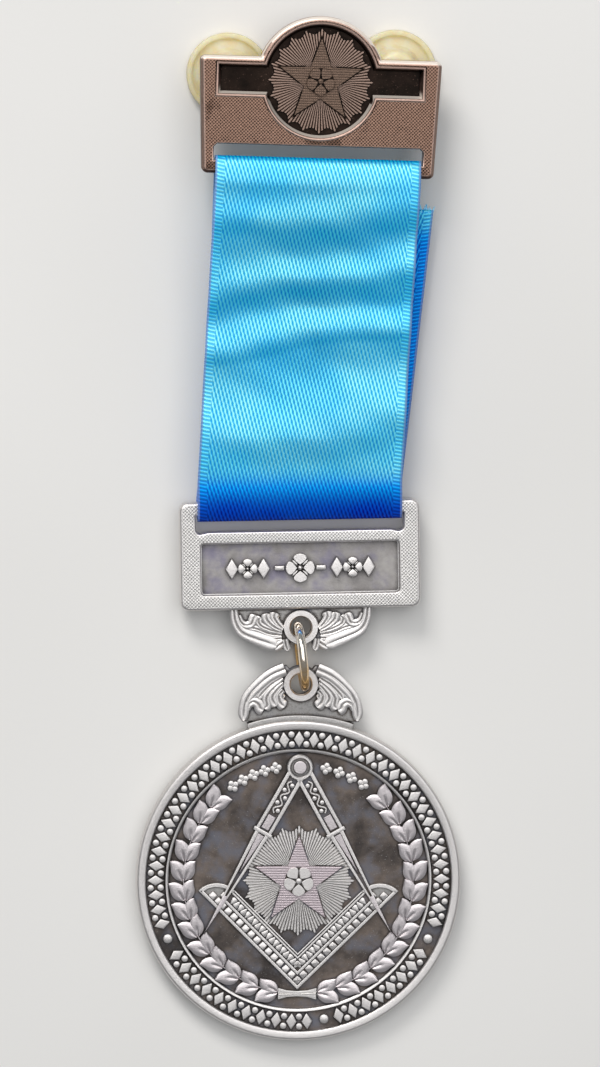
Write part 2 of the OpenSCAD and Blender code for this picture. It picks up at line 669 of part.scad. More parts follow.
// Rubber clutch: a flange with a raised edge, a tapered barrel and a blind bore for the post
module clutch(p) {
    bore_r = post_d / 2 + seat_gap / 2;
    r = clutch_d / 2;
    color("lemonchiffon") translate([brooch_shift, brooch_y - middle_y, 0]) rotate(brooch_turn)
        translate([p[0], p[1], 0]) rotate_extrude($fn = round_fn) polygon([
            [0, 0], [r - edge, 0], [r, edge], [r, flange_t + flange_lip_h],
            [r - flange_lip_w, flange_t + flange_lip_h], [r - flange_lip_w, flange_t],
            [barrel_d / 2 + edge * 2, flange_t], [barrel_d / 2, clutch_h - edge],
            [barrel_d / 2 - edge, clutch_h], [bore_r, clutch_h], [bore_r, flange_t - seat_gap],
            [0, flange_t - seat_gap]]);
}

module clutch_left() { clutch(POSTS[0]); }
module clutch_right() { clutch(POSTS[1]); }

brooch_bar();
clutch_left();
clutch_right();
ribbon();
date_bar();
jump_ring();
medal();
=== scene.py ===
"""A lodge jewel lying face up: brooch bar on rubber clutches, folded satin ribbon, lower bar, ring and medal.

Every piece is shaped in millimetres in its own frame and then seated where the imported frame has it.
"""

import logging
import math
import random
from dataclasses import dataclass, replace
from enum import Enum
from typing import Callable, Iterable, Sequence

import bmesh
import bpy
from bmesh.types import BMEdge, BMFace, BMVert
from bpy.types import ID, Material, Mesh, Node, Object
from mathutils import Matrix, Vector

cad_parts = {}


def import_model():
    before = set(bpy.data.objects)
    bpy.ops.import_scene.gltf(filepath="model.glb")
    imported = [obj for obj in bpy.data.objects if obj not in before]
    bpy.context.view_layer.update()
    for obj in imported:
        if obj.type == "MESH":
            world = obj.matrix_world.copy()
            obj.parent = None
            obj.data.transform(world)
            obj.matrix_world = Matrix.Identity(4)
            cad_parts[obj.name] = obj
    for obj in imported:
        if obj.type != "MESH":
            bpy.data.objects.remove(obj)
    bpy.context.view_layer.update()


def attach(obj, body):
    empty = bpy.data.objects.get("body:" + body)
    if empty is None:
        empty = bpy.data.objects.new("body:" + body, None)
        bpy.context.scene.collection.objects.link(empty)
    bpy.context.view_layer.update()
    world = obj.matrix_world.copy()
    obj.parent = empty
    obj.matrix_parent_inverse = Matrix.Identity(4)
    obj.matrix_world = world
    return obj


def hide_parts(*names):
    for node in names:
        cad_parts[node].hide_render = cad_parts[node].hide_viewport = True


log = logging.getLogger("jewel")

MM = 0.001
# Distance from the medal's centre to the middle of the jewel
MIDDLE_Y = 54.134
# How far a form's foot is sunk into the face under it
ROOT = 0.3
# Wear of a recess, of rubbed relief and of polished relief; a painted highlight, on walls marked as facing
# the light, starts above them
SUNK = 0.1
RUBBED = 1.1
POLISHED = 1.2
PAINTED_HIGHLIGHT_FROM, PAINTED_HIGHLIGHT_TO = 1.3, 1.6

Point = tuple[float, float]
Colour = tuple[float, float, float]
Curve = Callable[[float], float]
Section = Callable[[float, float], float]
Socket = bpy.types.NodeSocket


# Small helpers for shapes

def turn(degrees: float, axis: str = "Z") -> Matrix:
    """Return a turn about one axis through the origin."""
    return Matrix.Rotation(math.radians(degrees), 4, axis)


def shift(x: float, y: float, z: float = 0.0) -> Matrix:
    """Return a move."""
    return Matrix.Translation((x, y, z))


def around(angle: float, radius: float, z: float = 0.0) -> Matrix:
    """Return a place on a circle, standing upright to it; the angle is counted from +X."""
    return turn(angle - 90) @ shift(0, radius, z)


def flip(side: int) -> Matrix:
    """Return a mirror in X for side -1, and no change for side 1."""
    return Matrix.Diagonal((side, 1, 1, 1))


def blend(a: float, b: float, share: float) -> float:
    """Return the number that lies a share of the way from a to b."""
    return a + (b - a) * share


def smooth_path(knots: Sequence[Sequence[float]], count: int) -> list[Vector]:
    """Pass a smooth curve through knots.

    Args:
        knots: Points of two or three numbers that the curve goes through.
        count: Number of points to return.

    Returns:
        Points along the curve, its two ends included.
    """
    pts = [Vector(k) for k in knots]
    pts = [pts[0] * 2 - pts[1]] + pts + [pts[-1] * 2 - pts[-2]]
    spans = len(pts) - 3
    path = []
    for i in range(count):
        place = i / (count - 1) * spans
        k = min(int(place), spans - 1)
        t = place - k
        a, b, c, d = pts[k:k + 4]
        path.append(0.5 * (b * 2 + (c - a) * t + (a * 2 - b * 5 + c * 4 - d) * t ** 2
                           + (b * 3 - a - c * 3 + d) * t ** 3))
    return path


def arc(x: float, y: float, r: float, start: float, end: float, steps: int) -> list[Point]:
    """Return points on an arc about (x, y), from one angle in degrees to another, both ends included."""
    angles = [math.radians(blend(start, end, i / steps)) for i in range(steps + 1)]
    return [(x + r * math.cos(a), y + r * math.sin(a)) for a in angles]


def inset(loop: Sequence[Point], distance: float) -> list[Point]:
    """Move each side of a closed outline to its left.

    Args:
        loop: Corners in order; counter-clockwise moves inwards, clockwise outwards.
        distance: How far the sides move.

    Returns:
        The corners of the moved outline.
    """
    count = len(loop)
    moved = []
    for i, here in enumerate(loop):
        p = Vector(here)
        before = (p - Vector(loop[i - 1])).normalized()
        after = (Vector(loop[(i + 1) % count]) - p).normalized()
        side = Vector((-before.y - after.y, before.x + after.x))
        side /= max(0.3, 1 + before.dot(after))
        moved.append(tuple(p + side * distance))
    return moved


def oblong(left: float, right: float, low: float, high: float) -> list[Point]:
    """Return the corners of an upright rectangle, counter-clockwise."""
    return [(left, low), (right, low), (right, high), (left, high)]


def mirrored(points: Sequence[Point]) -> list[Point]:
    """Return points mirrored in X and in reverse order, as the other half of an outline."""
    return [(-x, y) for x, y in points[::-1]]


def rounded_box(foot: float, top: float, low: float, high: float, r: float) -> list[Point]:
    """Return a rounded box about the Y axis, counter-clockwise, with a foot and a top of their own widths."""
    return (arc(r - foot / 2, low + r, r, 180, 270, 6) + arc(foot / 2 - r, low + r, r, 270, 360, 6)
            + arc(top / 2 - r, high - r, r, 0, 90, 6) + arc(r - top / 2, high - r, r, 90, 180, 6))


def leaf_width(width: float, fullest: float = 0.42, blunt: float = 0.62) -> Curve:
    """Return the half width of a leaf along its length, fullest at the given share."""
    power = math.log(0.5) / math.log(fullest)
    return lambda t: width / 2 * math.sin(math.pi * t ** power) ** blunt if 0 < t < 1 else 0.0


def finger_width(start: float, end: float) -> Curve:
    """Return the half width of a lobe that starts thin and ends in a round tip."""
    def half(t: float) -> float:
        """Return the half width at a share of the length."""
        past = max(0.0, (t - 0.82) / 0.18)
        return blend(start, end, t) / 2 * min(1.0, math.sqrt(max(0.0, 1 - past ** 2)))
    return half


def only(geom: Iterable[object], kind: type) -> list:
    """Return the parts of an operator's result that are of one kind."""
    return [g for g in geom if isinstance(g, kind)]


def link(name: str, data: ID) -> Object:
    """Put an object with that data in the scene and return it."""
    thing = bpy.data.objects.new(name, data)
    bpy.context.scene.collection.objects.link(thing)
    return thing


class Form:
    """One closed form in millimetres, shaped with bmesh operators."""

    def __init__(self) -> None:
        """Start empty."""
        self.bm = bmesh.new()

    def settle(self) -> "Form":
        """Merge doubles and turn the faces outwards."""
        bmesh.ops.remove_doubles(self.bm, verts=self.bm.verts, dist=0.004)
        bmesh.ops.recalc_face_normals(self.bm, faces=self.bm.faces)
        return self

    @classmethod
    def slab(cls, loop: Sequence[Point], high: float, edge: float = 0.1, low: float = -ROOT) -> "Form":
        """Raise a flat outline into a slab whose upper edges are rounded.

        Args:
            loop: Corners of the outline.
            high: Height of its top.
            edge: How much is taken off the upper edges.
            low: Height of its foot.

        Returns:
            The slab.
        """
        form = cls()
        base = form.bm.faces.new([form.bm.verts.new((x, y, low)) for x, y in loop])
        raised = bmesh.ops.extrude_face_region(form.bm, geom=[base], use_keep_orig=True)["geom"]
        bmesh.ops.translate(form.bm, vec=(0, 0, high - low), verts=only(raised, BMVert))
        form.settle()
        if edge > 0:
            rim = [e for e in form.bm.edges if min(v.co.z for v in e.verts) > high - 1e-5]
            bmesh.ops.bevel(form.bm, geom=rim, offset=edge, offset_type="OFFSET", segments=2, profile=0.5,
                            affect="EDGES", material=-1, clamp_overlap=True)
        return form

    @classmethod
    def stroke(cls, knots: Sequence[Point], half_width: Curve, crown: Section, steps: int,
               columns: int) -> "Form":
        """Lay a strip along a path, with its own width and section.

        Args:
            knots: Points that the middle of the strip passes through.
            half_width: Half the width at a share of the length.
            crown: Height at a share of the length and a share across, from -1 to 1.
            steps: Quads along the strip.
            columns: Quads across it.

        Returns:
            The strip.
        """
        form = cls()
        path = smooth_path(knots, steps + 1)
        bmesh.ops.create_grid(form.bm, x_segments=steps, y_segments=columns, size=0.5)
        grid = list(form.bm.verts)
        lifted = bmesh.ops.extrude_face_region(form.bm, geom=list(form.bm.faces), use_keep_orig=True)["geom"]
        tops = set(only(lifted, BMVert))
        for v in grid + list(tops):
            t = min(1.0, max(0.0, v.co.x + 0.5))
            across = v.co.y * 2
            across = math.copysign(abs(across) ** 1.35, across)
            i = round(t * steps)
            along = (path[min(i + 1, steps)] - path[max(i - 1, 0)]).normalized()
            half = max(half_width(t), 0.003)
            p = path[i]
            z = crown(t, across) if v in tops else -ROOT
            v.co = (p.x - along.y * across * half, p.y + along.x * across * half, z)
        return form.settle()

    @classmethod
    def bead(cls, r: float, height: float, level: int = 2) -> "Form":
        """Return a round bead, half sunk, of a radius and a height."""
        form = cls()
        bmesh.ops.create_icosphere(form.bm, subdivisions=level, radius=1.0)
        bmesh.ops.scale(form.bm, vec=(r, r, height), verts=form.bm.verts)
        return form

    @classmethod
    def disc(cls, r: float, height: float, edge: float = 0.1, steps: int = 24) -> "Form":
        """Return a flat round stud with a rounded edge."""
        return cls.slab(arc(0, 0, r, 0, 360 - 360 / steps, steps - 1), height, edge)

    @classmethod
    def lozenge(cls, width: float, length: float, height: float) -> "Form":
        """Return a four-sided stud with a worn flat top."""
        loop = [(width / 2, 0), (0, length / 2), (-width / 2, 0), (0, -length / 2)]
        return cls.slab(loop, height, min(width, length) * 0.13)

    @classmethod
    def petal(cls, length: float, width: float, height: float) -> "Form":
        """Return a flat petal whose foot is at the origin and whose tip points up."""
        half = leaf_width(width, 0.62)
        side = [(half(i / 12), length * i / 12) for i in range(1, 12)]
        return cls.slab([(0, 0)] + side + [(0, length)] + mirrored(side), height, 0.08)

    @classmethod
    def lathe(cls, profile: Sequence[Point], steps: int) -> "Form":
        """Turn a profile of radius and height into a closed body.

        Args:
            profile: Points from the axis round to the axis again.
            steps: Number of segments round the turn.

        Returns:
            The turned body.
        """
        form = cls()
        verts = [form.bm.verts.new((r, 0, z)) for r, z in profile]
        edges = [form.bm.edges.new(pair) for pair in zip(verts, verts[1:])]
        bmesh.ops.spin(form.bm, geom=verts + edges, cent=(0, 0, 0), axis=(0, 0, 1), angle=math.tau,
                       steps=steps, use_merge=True, use_duplicate=False)
        return form.settle()

    @classmethod
    def plate(cls, loops: Sequence["Wall"], top: float, edge: float) -> "Form":
        """Make a plate with holes and sunk panels.

        Args:
            loops: The outline, counter-clockwise, then the holes and panels, clockwise.
            top: Height of the face.
            edge: Radius of the face's edges.

        Returns:
            The plate, with its face in material 0, its walls in 1 and its sunk floors in 2.
        """
        form = cls()
        bm = form.bm
        rings = []
        for wall in loops:
            verts = [bm.verts.new((x, y, top)) for x, y in inset(wall.loop, wall.steps(top, edge)[0][0])]
            rings.append([bm.edges.new((a, b)) for a, b in zip(verts, verts[1:] + verts[:1])])
        bmesh.ops.triangle_fill(bm, use_beauty=True, use_dissolve=False, normal=(0, 0, 1),
                                edges=[e for ring in rings for e in ring])
        backs = []
        for wall, ring in zip(loops, rings):
            steps = wall.steps(top, edge)
            order = inset(wall.loop, steps[0][0])
            for cut, z in steps[1:]:
                moved = bmesh.ops.extrude_edge_only(bm, edges=ring)["geom"]
                ring = only(moved, BMEdge)
                for f in only(moved, BMFace):
                    f.material_index = 1
                points = inset(wall.loop, cut) if cut else list(wall.loop)
                near = {v: min(range(len(order)), key=lambda i: math.dist(v.co.xy, order[i]))
                        for v in only(moved, BMVert)}
                for v, i in near.items():
                    v.co = (*points[i], z)
                order = points
            if wall.through:
                backs += ring
            else:
                for f in bmesh.ops.edgeloop_fill(bm, edges=ring)["faces"]:
                    f.material_index = 2
        back = bmesh.ops.triangle_fill(bm, use_beauty=True, use_dissolve=False, normal=(0, 0, -1),
                                       edges=backs)["geom"]
        for f in only(back, BMFace):
            f.material_index = 1
        bmesh.ops.recalc_face_normals(bm, faces=bm.faces)
        return form

    @classmethod
    def sunburst(cls, radius: float, rays: int, height: float, groove: float) -> "Form":
        """Return a sunburst of ridges with twenty tips.

        Args:
            radius: Radius over the longest rays.
            rays: Number of rays.
            height: Height of the ridges.
            groove: Depth of the grooves between them.

        Returns:
            The sunburst about the origin, its foot a root below 0.
        """
        form = cls()
        bm = form.bm
        count = rays * 4
        bmesh.ops.create_circle(bm, cap_ends=True, cap_tris=True, radius=1.0, segments=count)
        spokes = [e for e in bm.edges if min(v.co.length for v in e.verts) < 1e-4]
        bmesh.ops.subdivide_edges(bm, edges=spokes, cuts=3)
        for v in bm.verts:
            share = v.co.length
            if share < 1e-4:
                v.co.z = height
                continue
            angle = math.atan2(v.co.x, v.co.y) % math.tau
            in_groove = (round(angle / math.tau * count) + 2) % 4 == 0
            reach = radius * (1 - 0.10 * abs(math.sin(angle * 10)) ** 0.9) * (0.96 if in_groove else 1)
            reach = blend(radius * 0.8, reach, max(0.0, share * 4 - 3)) if share > 0.7 else radius * 0.8
            v.co *= reach
            v.co.z = height * (1 - 0.15 * share ** 4) - in_groove * groove * min(1.0, share * 1.6)
        down = bmesh.ops.extrude_edge_only(bm, edges=[e for e in bm.edges if e.is_boundary])["geom"]
        for v in only(down, BMVert):
            v.co.z = -ROOT
        bmesh.ops.edgeloop_fill(bm, edges=only(down, BMEdge))
        bmesh.ops.recalc_face_normals(bm, faces=bm.faces)
        return form


@dataclass(frozen=True)
class Wall:
    """An outline of a plate and how its wall goes down.

    Attributes:
        loop: Corners of the outline.
        low: Height at which the wall ends.
        through: If it ends at the plate's back, and not in a sunk floor.
        edge: Radius of its upper edge, or 0 for the plate's own.
        profile: Its section, where it isn't just a rounded edge.
    """

    loop: Sequence[Point]
    low: float = 0.0
    through: bool = True
    edge: float = 0.0
    profile: Sequence[Point] = ()

    def steps(self, top: float, edge: float) -> list[Point]:
        """Return the wall's section from the face down: how far each line is cut back, and its height."""
        if self.profile:
            return list(self.profile)
        width = self.edge or edge
        rounding = [(width * (1 - math.sin(a)), top - width * (1 - math.cos(a)))
                    for a in (0.0, math.radians(30), math.radians(60), math.radians(90))]
        return rounding + ([(0.0, self.low + 0.12), (0.12, self.low)] if self.through else [(0.0, self.low)])


# Finishes

class Graph:
    """A material's nodes, put together by short calls."""

    def __init__(self, name: str) -> None:
        """Start a material that holds only its output and a Principled shader."""
        self.material = bpy.data.materials.new(name)
        self.material.use_nodes = True
        self.tree = self.material.node_tree
        self.tree.nodes.clear()
        self.output = self.tree.nodes.new("ShaderNodeOutputMaterial")
        self.shader = self.tree.nodes.new("ShaderNodeBsdfPrincipled")
        self.tree.links.new(self.shader.outputs[0], self.output.inputs[0])

    def add(self, kind: str, sockets: dict | None = None, **settings: object) -> Node:
        """Add a node.

        Args:
            kind: The node's type without its ShaderNode prefix.
            sockets: Values or outputs for its inputs, by name or number.
            **settings: Properties of the node.

        Returns:
            The node.
        """
        node = self.tree.nodes.new("ShaderNode" + kind)
        for key, value in settings.items():
            setattr(node, key, value)
        for key, value in (sockets or {}).items():
            self.put(node.inputs[key], value)
        return node

    def put(self, socket: Socket, value: object) -> None:
        """Link an output to a socket, or set the socket's own value; a colour gets its alpha."""
        if isinstance(value, Socket):
            self.tree.links.new(value, socket)
        else:
            socket.default_value = (*value, 1) if socket.type == "RGBA" else value

    def set(self, **values: object) -> None:
        """Set inputs of the Principled shader; an underscore stands for a space."""
        for key, value in values.items():
            self.put(self.shader.inputs[key.replace("_", " ")], value)

    def math(self, operation: str, a: object, b: object = 0.0) -> Socket:
        """Return the result of a sum on one or two numbers."""
        return self.add("Math", {0: a, 1: b}, operation=operation).outputs[0]

    def plus(self, a: object, b: object) -> Socket:
        """Return a plus b."""
        return self.math("ADD", a, b)

    def minus(self, a: object, b: object) -> Socket:
        """Return a minus b."""
        return self.math("SUBTRACT", a, b)

    def times(self, a: object, b: object) -> Socket:
        """Return a times b."""
        return self.math("MULTIPLY", a, b)

    def wave(self, value: object, pitch: float, operation: str = "SINE") -> Socket:
        """Return a wave along a value, from -1 to 1, with its pitch in the value's own unit."""
        return self.math(operation, self.times(value, math.tau / pitch))

    def scale(self, value: object, low: float, high: float, to_low: float = 0.0,
              to_high: float = 1.0) -> Socket:
        """Return a number taken from one range to another with a soft start and end."""
        return self.add("MapRange", {0: value, 1: low, 2: high, 3: to_low, 4: to_high},
                        interpolation_type="SMOOTHSTEP").outputs[0]

    def mix(self, share: object, a: object, b: object, blend_type: str = "MIX") -> Socket:
        """Return a colour between two colours, or the second laid over the first in another way."""
        return self.add("Mix", {0: share, 6: a, 7: b}, data_type="RGBA", blend_type=blend_type).outputs[2]

    def noise(self, place: object, scale: float, detail: float = 3.0, rough: float = 0.5) -> Socket:
        """Return noise at a place."""
        sockets = {"Vector": place, "Scale": scale, "Detail": detail, "Roughness": rough}
        return self.add("TexNoise", sockets).outputs[0]

    def xyz(self, vector: object) -> tuple[Socket, Socket, Socket]:
        """Return the three numbers of a vector."""
        return tuple(self.add("SeparateXYZ", {0: vector}).outputs)

    def open_sky(self, reach_mm: float, **settings: object) -> Socket:
        """Return how open a point lies within a reach: 1 in the open and less in a recess."""
        return self.add("AmbientOcclusion", {"Distance": reach_mm * MM}, **settings).outputs["AO"]

    def millimetres(self, metres: object) -> Socket:
        """Return a place in metres as one in millimetres."""
        return self.add("Mapping", {0: metres, "Scale": (1 / MM, 1 / MM, 1 / MM)}).outputs[0]

    def local(self, seat: "Seat") -> Socket:
        """Return the place on a piece in its own frame, in millimetres."""
        coordinate = self.add("TexCoord").outputs["Object"]
        spot, spin, _ = seat.matrix.decompose()
        return self.add("Mapping", {0: coordinate, "Location": spot, "Rotation": spin.to_euler(),
                                    "Scale": (MM, MM, MM)}, vector_type="TEXTURE").outputs[0]

    def bump(self, height: object, depth_mm: float, strength: float, under: object = None) -> Socket:
        """Return a normal for a height pattern whose full depth is given in millimetres."""
        node = self.add("Bump", {"Height": height, "Strength": strength, "Distance": depth_mm * MM})
        if under is not None:
            self.put(node.inputs["Normal"], under)
        return node.outputs[0]


# Sizes of the patina's smears and blushes, of specks, grit and fine scratches, as noise scales per millimetre
SMEAR, BLUSH, SPECK, GRIT, SCRATCH = 0.16, 0.31, 5.0, 3.2, 9.0


class Tooling(Enum):
    """How a cast surface is worked."""

    PLAIN = "plain"
    STIPPLED = "stippled"
    HATCHED = "hatched"


@dataclass(frozen=True)
class CastFinish:
    """Cast and antiqued metal: dark in the recesses, tinted half-way up and rubbed bright on top, with a
    painted highlight on walls marked as facing the light.

    Attributes:
        name: Name of the material.
        bright: The metal where it is rubbed most.
        tint: The metal half-way up.
        dark: The patina in general.
        cold: The patina's cold patches.
        warm: Its warm patches.
        sheen: Roughness of rubbed metal.
        cavity_mm: Width of the recesses that stay dark, as patina and as painted shade.
        shade: How much a recess takes off the rubbing.
        rub_from: Rubbing at which metal starts to show.
        rub_to: Rubbing at which it shows fully.
        tooling: How the surface is worked.
        pitch: Distance between pits or lines, in millimetres.
        pit_depth: How much they take off the rubbing.
        tool_mm: Their depth.
        oxide: How metallic the patina is.
        patches: How much a smear of patina takes off the rubbing.
        edge: Colour of the painted highlight on walls marked as facing the light.
    """

    name: str
    bright: Colour
    tint: Colour
    dark: Colour
    cold: Colour
    warm: Colour
    sheen: float = 0.34
    cavity_mm: float = 0.5
    shade: float = 0.7
    rub_from: float = 0.22
    rub_to: float = 0.55
    tooling: Tooling = Tooling.PLAIN
    pitch: float = 0.62
    pit_depth: float = 0.5
    tool_mm: float = 0.08
    oxide: float = 0.55
    patches: float = 0.0
    edge: Colour = (0.74, 0.73, 0.70)

    def pits(self, graph: Graph, place: Socket) -> Socket:
        """Return a diagonal net of small pits, 1 on the face and 0 in a pit."""
        x, y, _ = graph.xyz(place)
        waves = [graph.wave(graph.plus(x, graph.times(y, way)), self.pitch * 2) for way in (1.0, -1.0)]
        dots = graph.math("ABSOLUTE", graph.times(*waves))
        return graph.scale(graph.plus(dots, graph.times(graph.noise(place, 1.6), 0.22)), 0.86, 0.42)

    def hatch(self, graph: Graph, place: Socket) -> Socket:
        """Return fine level lines broken into dots, 1 on a line and 0 between."""
        x, y, _ = graph.xyz(place)
        beads = graph.times(graph.wave(x, self.pitch * 0.8), 0.45)
        return graph.scale(graph.plus(graph.wave(y, self.pitch), beads), -0.9, 0.2)

    def patina(self, graph: Graph, place: Socket, smear: Socket, sky: Socket) -> Socket:
        """Return the colour of the patina: patchy, speckled, and darkest deep down, where painted shade
        darkens it further.
        """
        blush = graph.scale(graph.noise(place, BLUSH), 0.42, 0.75)
        specks = graph.scale(graph.noise(place, SPECK, 1.0), 0.68, 0.78)
        patina = graph.mix(graph.scale(smear, 0.32, 0.68), self.dark, self.warm)
        patina = graph.mix(graph.times(blush, 0.8), patina, self.cold)
        patina = graph.mix(graph.times(specks, 0.5), patina, self.tint)
        # Painted shade: the patina is darkened where a recess hides the sky.
        return graph.mix(1.0, patina, graph.scale(sky, 0.35, 0.95, 0.3, 1.0), "MULTIPLY")

    def metal(self, graph: Graph, rub_and_light: Socket, fine: Socket, wear_and_light: Socket) -> Socket:
        """Return the colour of the rubbed metal, soiled in its fine scratches, and palest where a painted
        highlight is marked.
        """
        soiled_and_lit = graph.minus(rub_and_light, graph.times(graph.scale(fine, 0.40, 0.26), 0.35))
        metal = graph.mix(graph.scale(soiled_and_lit, self.rub_to, self.rub_to + 0.42), self.tint, self.bright)
        return graph.mix(graph.scale(wear_and_light, PAINTED_HIGHLIGHT_FROM, PAINTED_HIGHLIGHT_TO), metal, self.edge)

    def make(self, seat: "Seat") -> Material:
        """Build the material for a piece.

        Args:
            seat: The frame in which the pattern lies.

        Returns:
            The material.
        """
        graph = Graph(self.name)
        place = graph.local(seat)
        # The wear value read here also carries the painted highlight and shade marked on the brooch bar's
        # walls.
        wear_and_light = graph.add("Attribute", attribute_name="wear_and_light").outputs["Fac"]
        sky = graph.open_sky(self.cavity_mm, samples=6, only_local=True)
        smear = graph.noise(place, SMEAR, 5.0, 0.62)
        grit = graph.noise(place, GRIT, 3.0, 0.65)
        fine = graph.noise(place, SCRATCH, 2.0)
        rub_and_light = graph.plus(wear_and_light, graph.times(graph.minus(grit, 0.5), 0.35))
        # A recess takes off rubbing, since patina gathers there; this also paints shade into it.
        rub_and_light = graph.minus(rub_and_light, graph.times(graph.minus(1.0, sky), self.shade))
        rub_and_light = graph.minus(rub_and_light, graph.times(graph.scale(smear, 0.52, 0.72), self.patches))
        relief = graph.bump(graph.plus(fine, grit), 0.03, 0.7)
        if self.tooling is not Tooling.PLAIN:
            face = (self.pits if self.tooling is Tooling.STIPPLED else self.hatch)(graph, place)
            rub_and_light = graph.minus(rub_and_light, graph.times(graph.minus(1.0, face), self.pit_depth))
            relief = graph.bump(face, self.tool_mm, 0.8, relief)
        lit = graph.scale(rub_and_light, self.rub_from, self.rub_to)
        polish = graph.minus(graph.scale(lit, 0.0, 1.0, self.oxide, 1.0),
                             graph.scale(wear_and_light, PAINTED_HIGHLIGHT_FROM, PAINTED_HIGHLIGHT_TO, 0.0, 0.6))
        rough = graph.plus(graph.scale(lit, 0.0, 1.0, 0.40, self.sheen), graph.times(grit, 0.12))
        colour = graph.mix(lit, self.patina(graph, place, smear, sky), self.metal(graph, rub_and_light, fine, wear_and_light))
        graph.set(Base_Color=colour, Metallic=polish, Roughness=rough, Normal=relief)
        return graph.material


@dataclass(frozen=True)
class WireFinish:
    """Polished plated wire, golden towards its underside and its southern end, in noisy patches."""

    name: str = "plated_wire"
    plating: Colour = (0.84, 0.79, 0.71)
    golden: Colour = (0.82, 0.52, 0.22)

    def make(self, seat: "Seat") -> Material:
        """Build the material for the ring seated there."""
        graph = Graph(self.name)
        place = graph.local(seat)
        _, y, z = graph.xyz(place)
        # Golden toward the underside and the southern end, broken by noise.
        low = graph.plus(y, graph.times(z, 1.2))
        golden = graph.plus(graph.times(low, -0.13), graph.times(graph.noise(place, 0.7), 1.5))
        colour = graph.mix(graph.scale(golden, -0.3, 0.7), self.plating, self.golden)
        scuff = graph.noise(place, 6.0, 4.0)
        graph.set(Base_Color=colour, Metallic=1.0, Roughness=graph.scale(scuff, 0.3, 0.8, 0.10, 0.26),
                  Normal=graph.bump(scuff, 0.01, 0.5))
        return graph.material


@dataclass(frozen=True)
class RubberFinish:
    """Translucent pale yellow rubber."""

    name: str = "clutch_rubber"
    deep: Colour = (0.91, 0.77, 0.46)
    pale: Colour = (0.96, 0.87, 0.63)

    def make(self, seat: "Seat") -> Material:
        """Build the material for a clutch seated there."""
        graph = Graph(self.name)
        place = graph.local(seat)
        cloud = graph.scale(graph.noise(place, 0.5), 0.35, 0.7)
        dull = graph.scale(graph.noise(place, 2.5, 4.0), 0.3, 0.7, 0.28, 0.5)
        graph.set(Base_Color=graph.mix(cloud, self.deep, self.pale), Roughness=dull,
                  Subsurface_Weight=0.6, Subsurface_Radius=(1.0, 0.8, 0.3), Subsurface_Scale=0.002,
                  Transmission_Weight=0.25, IOR=1.45,
                  Normal=graph.bump(graph.noise(place, 3.0, 4.0), 0.04, 0.6))
        return graph.material


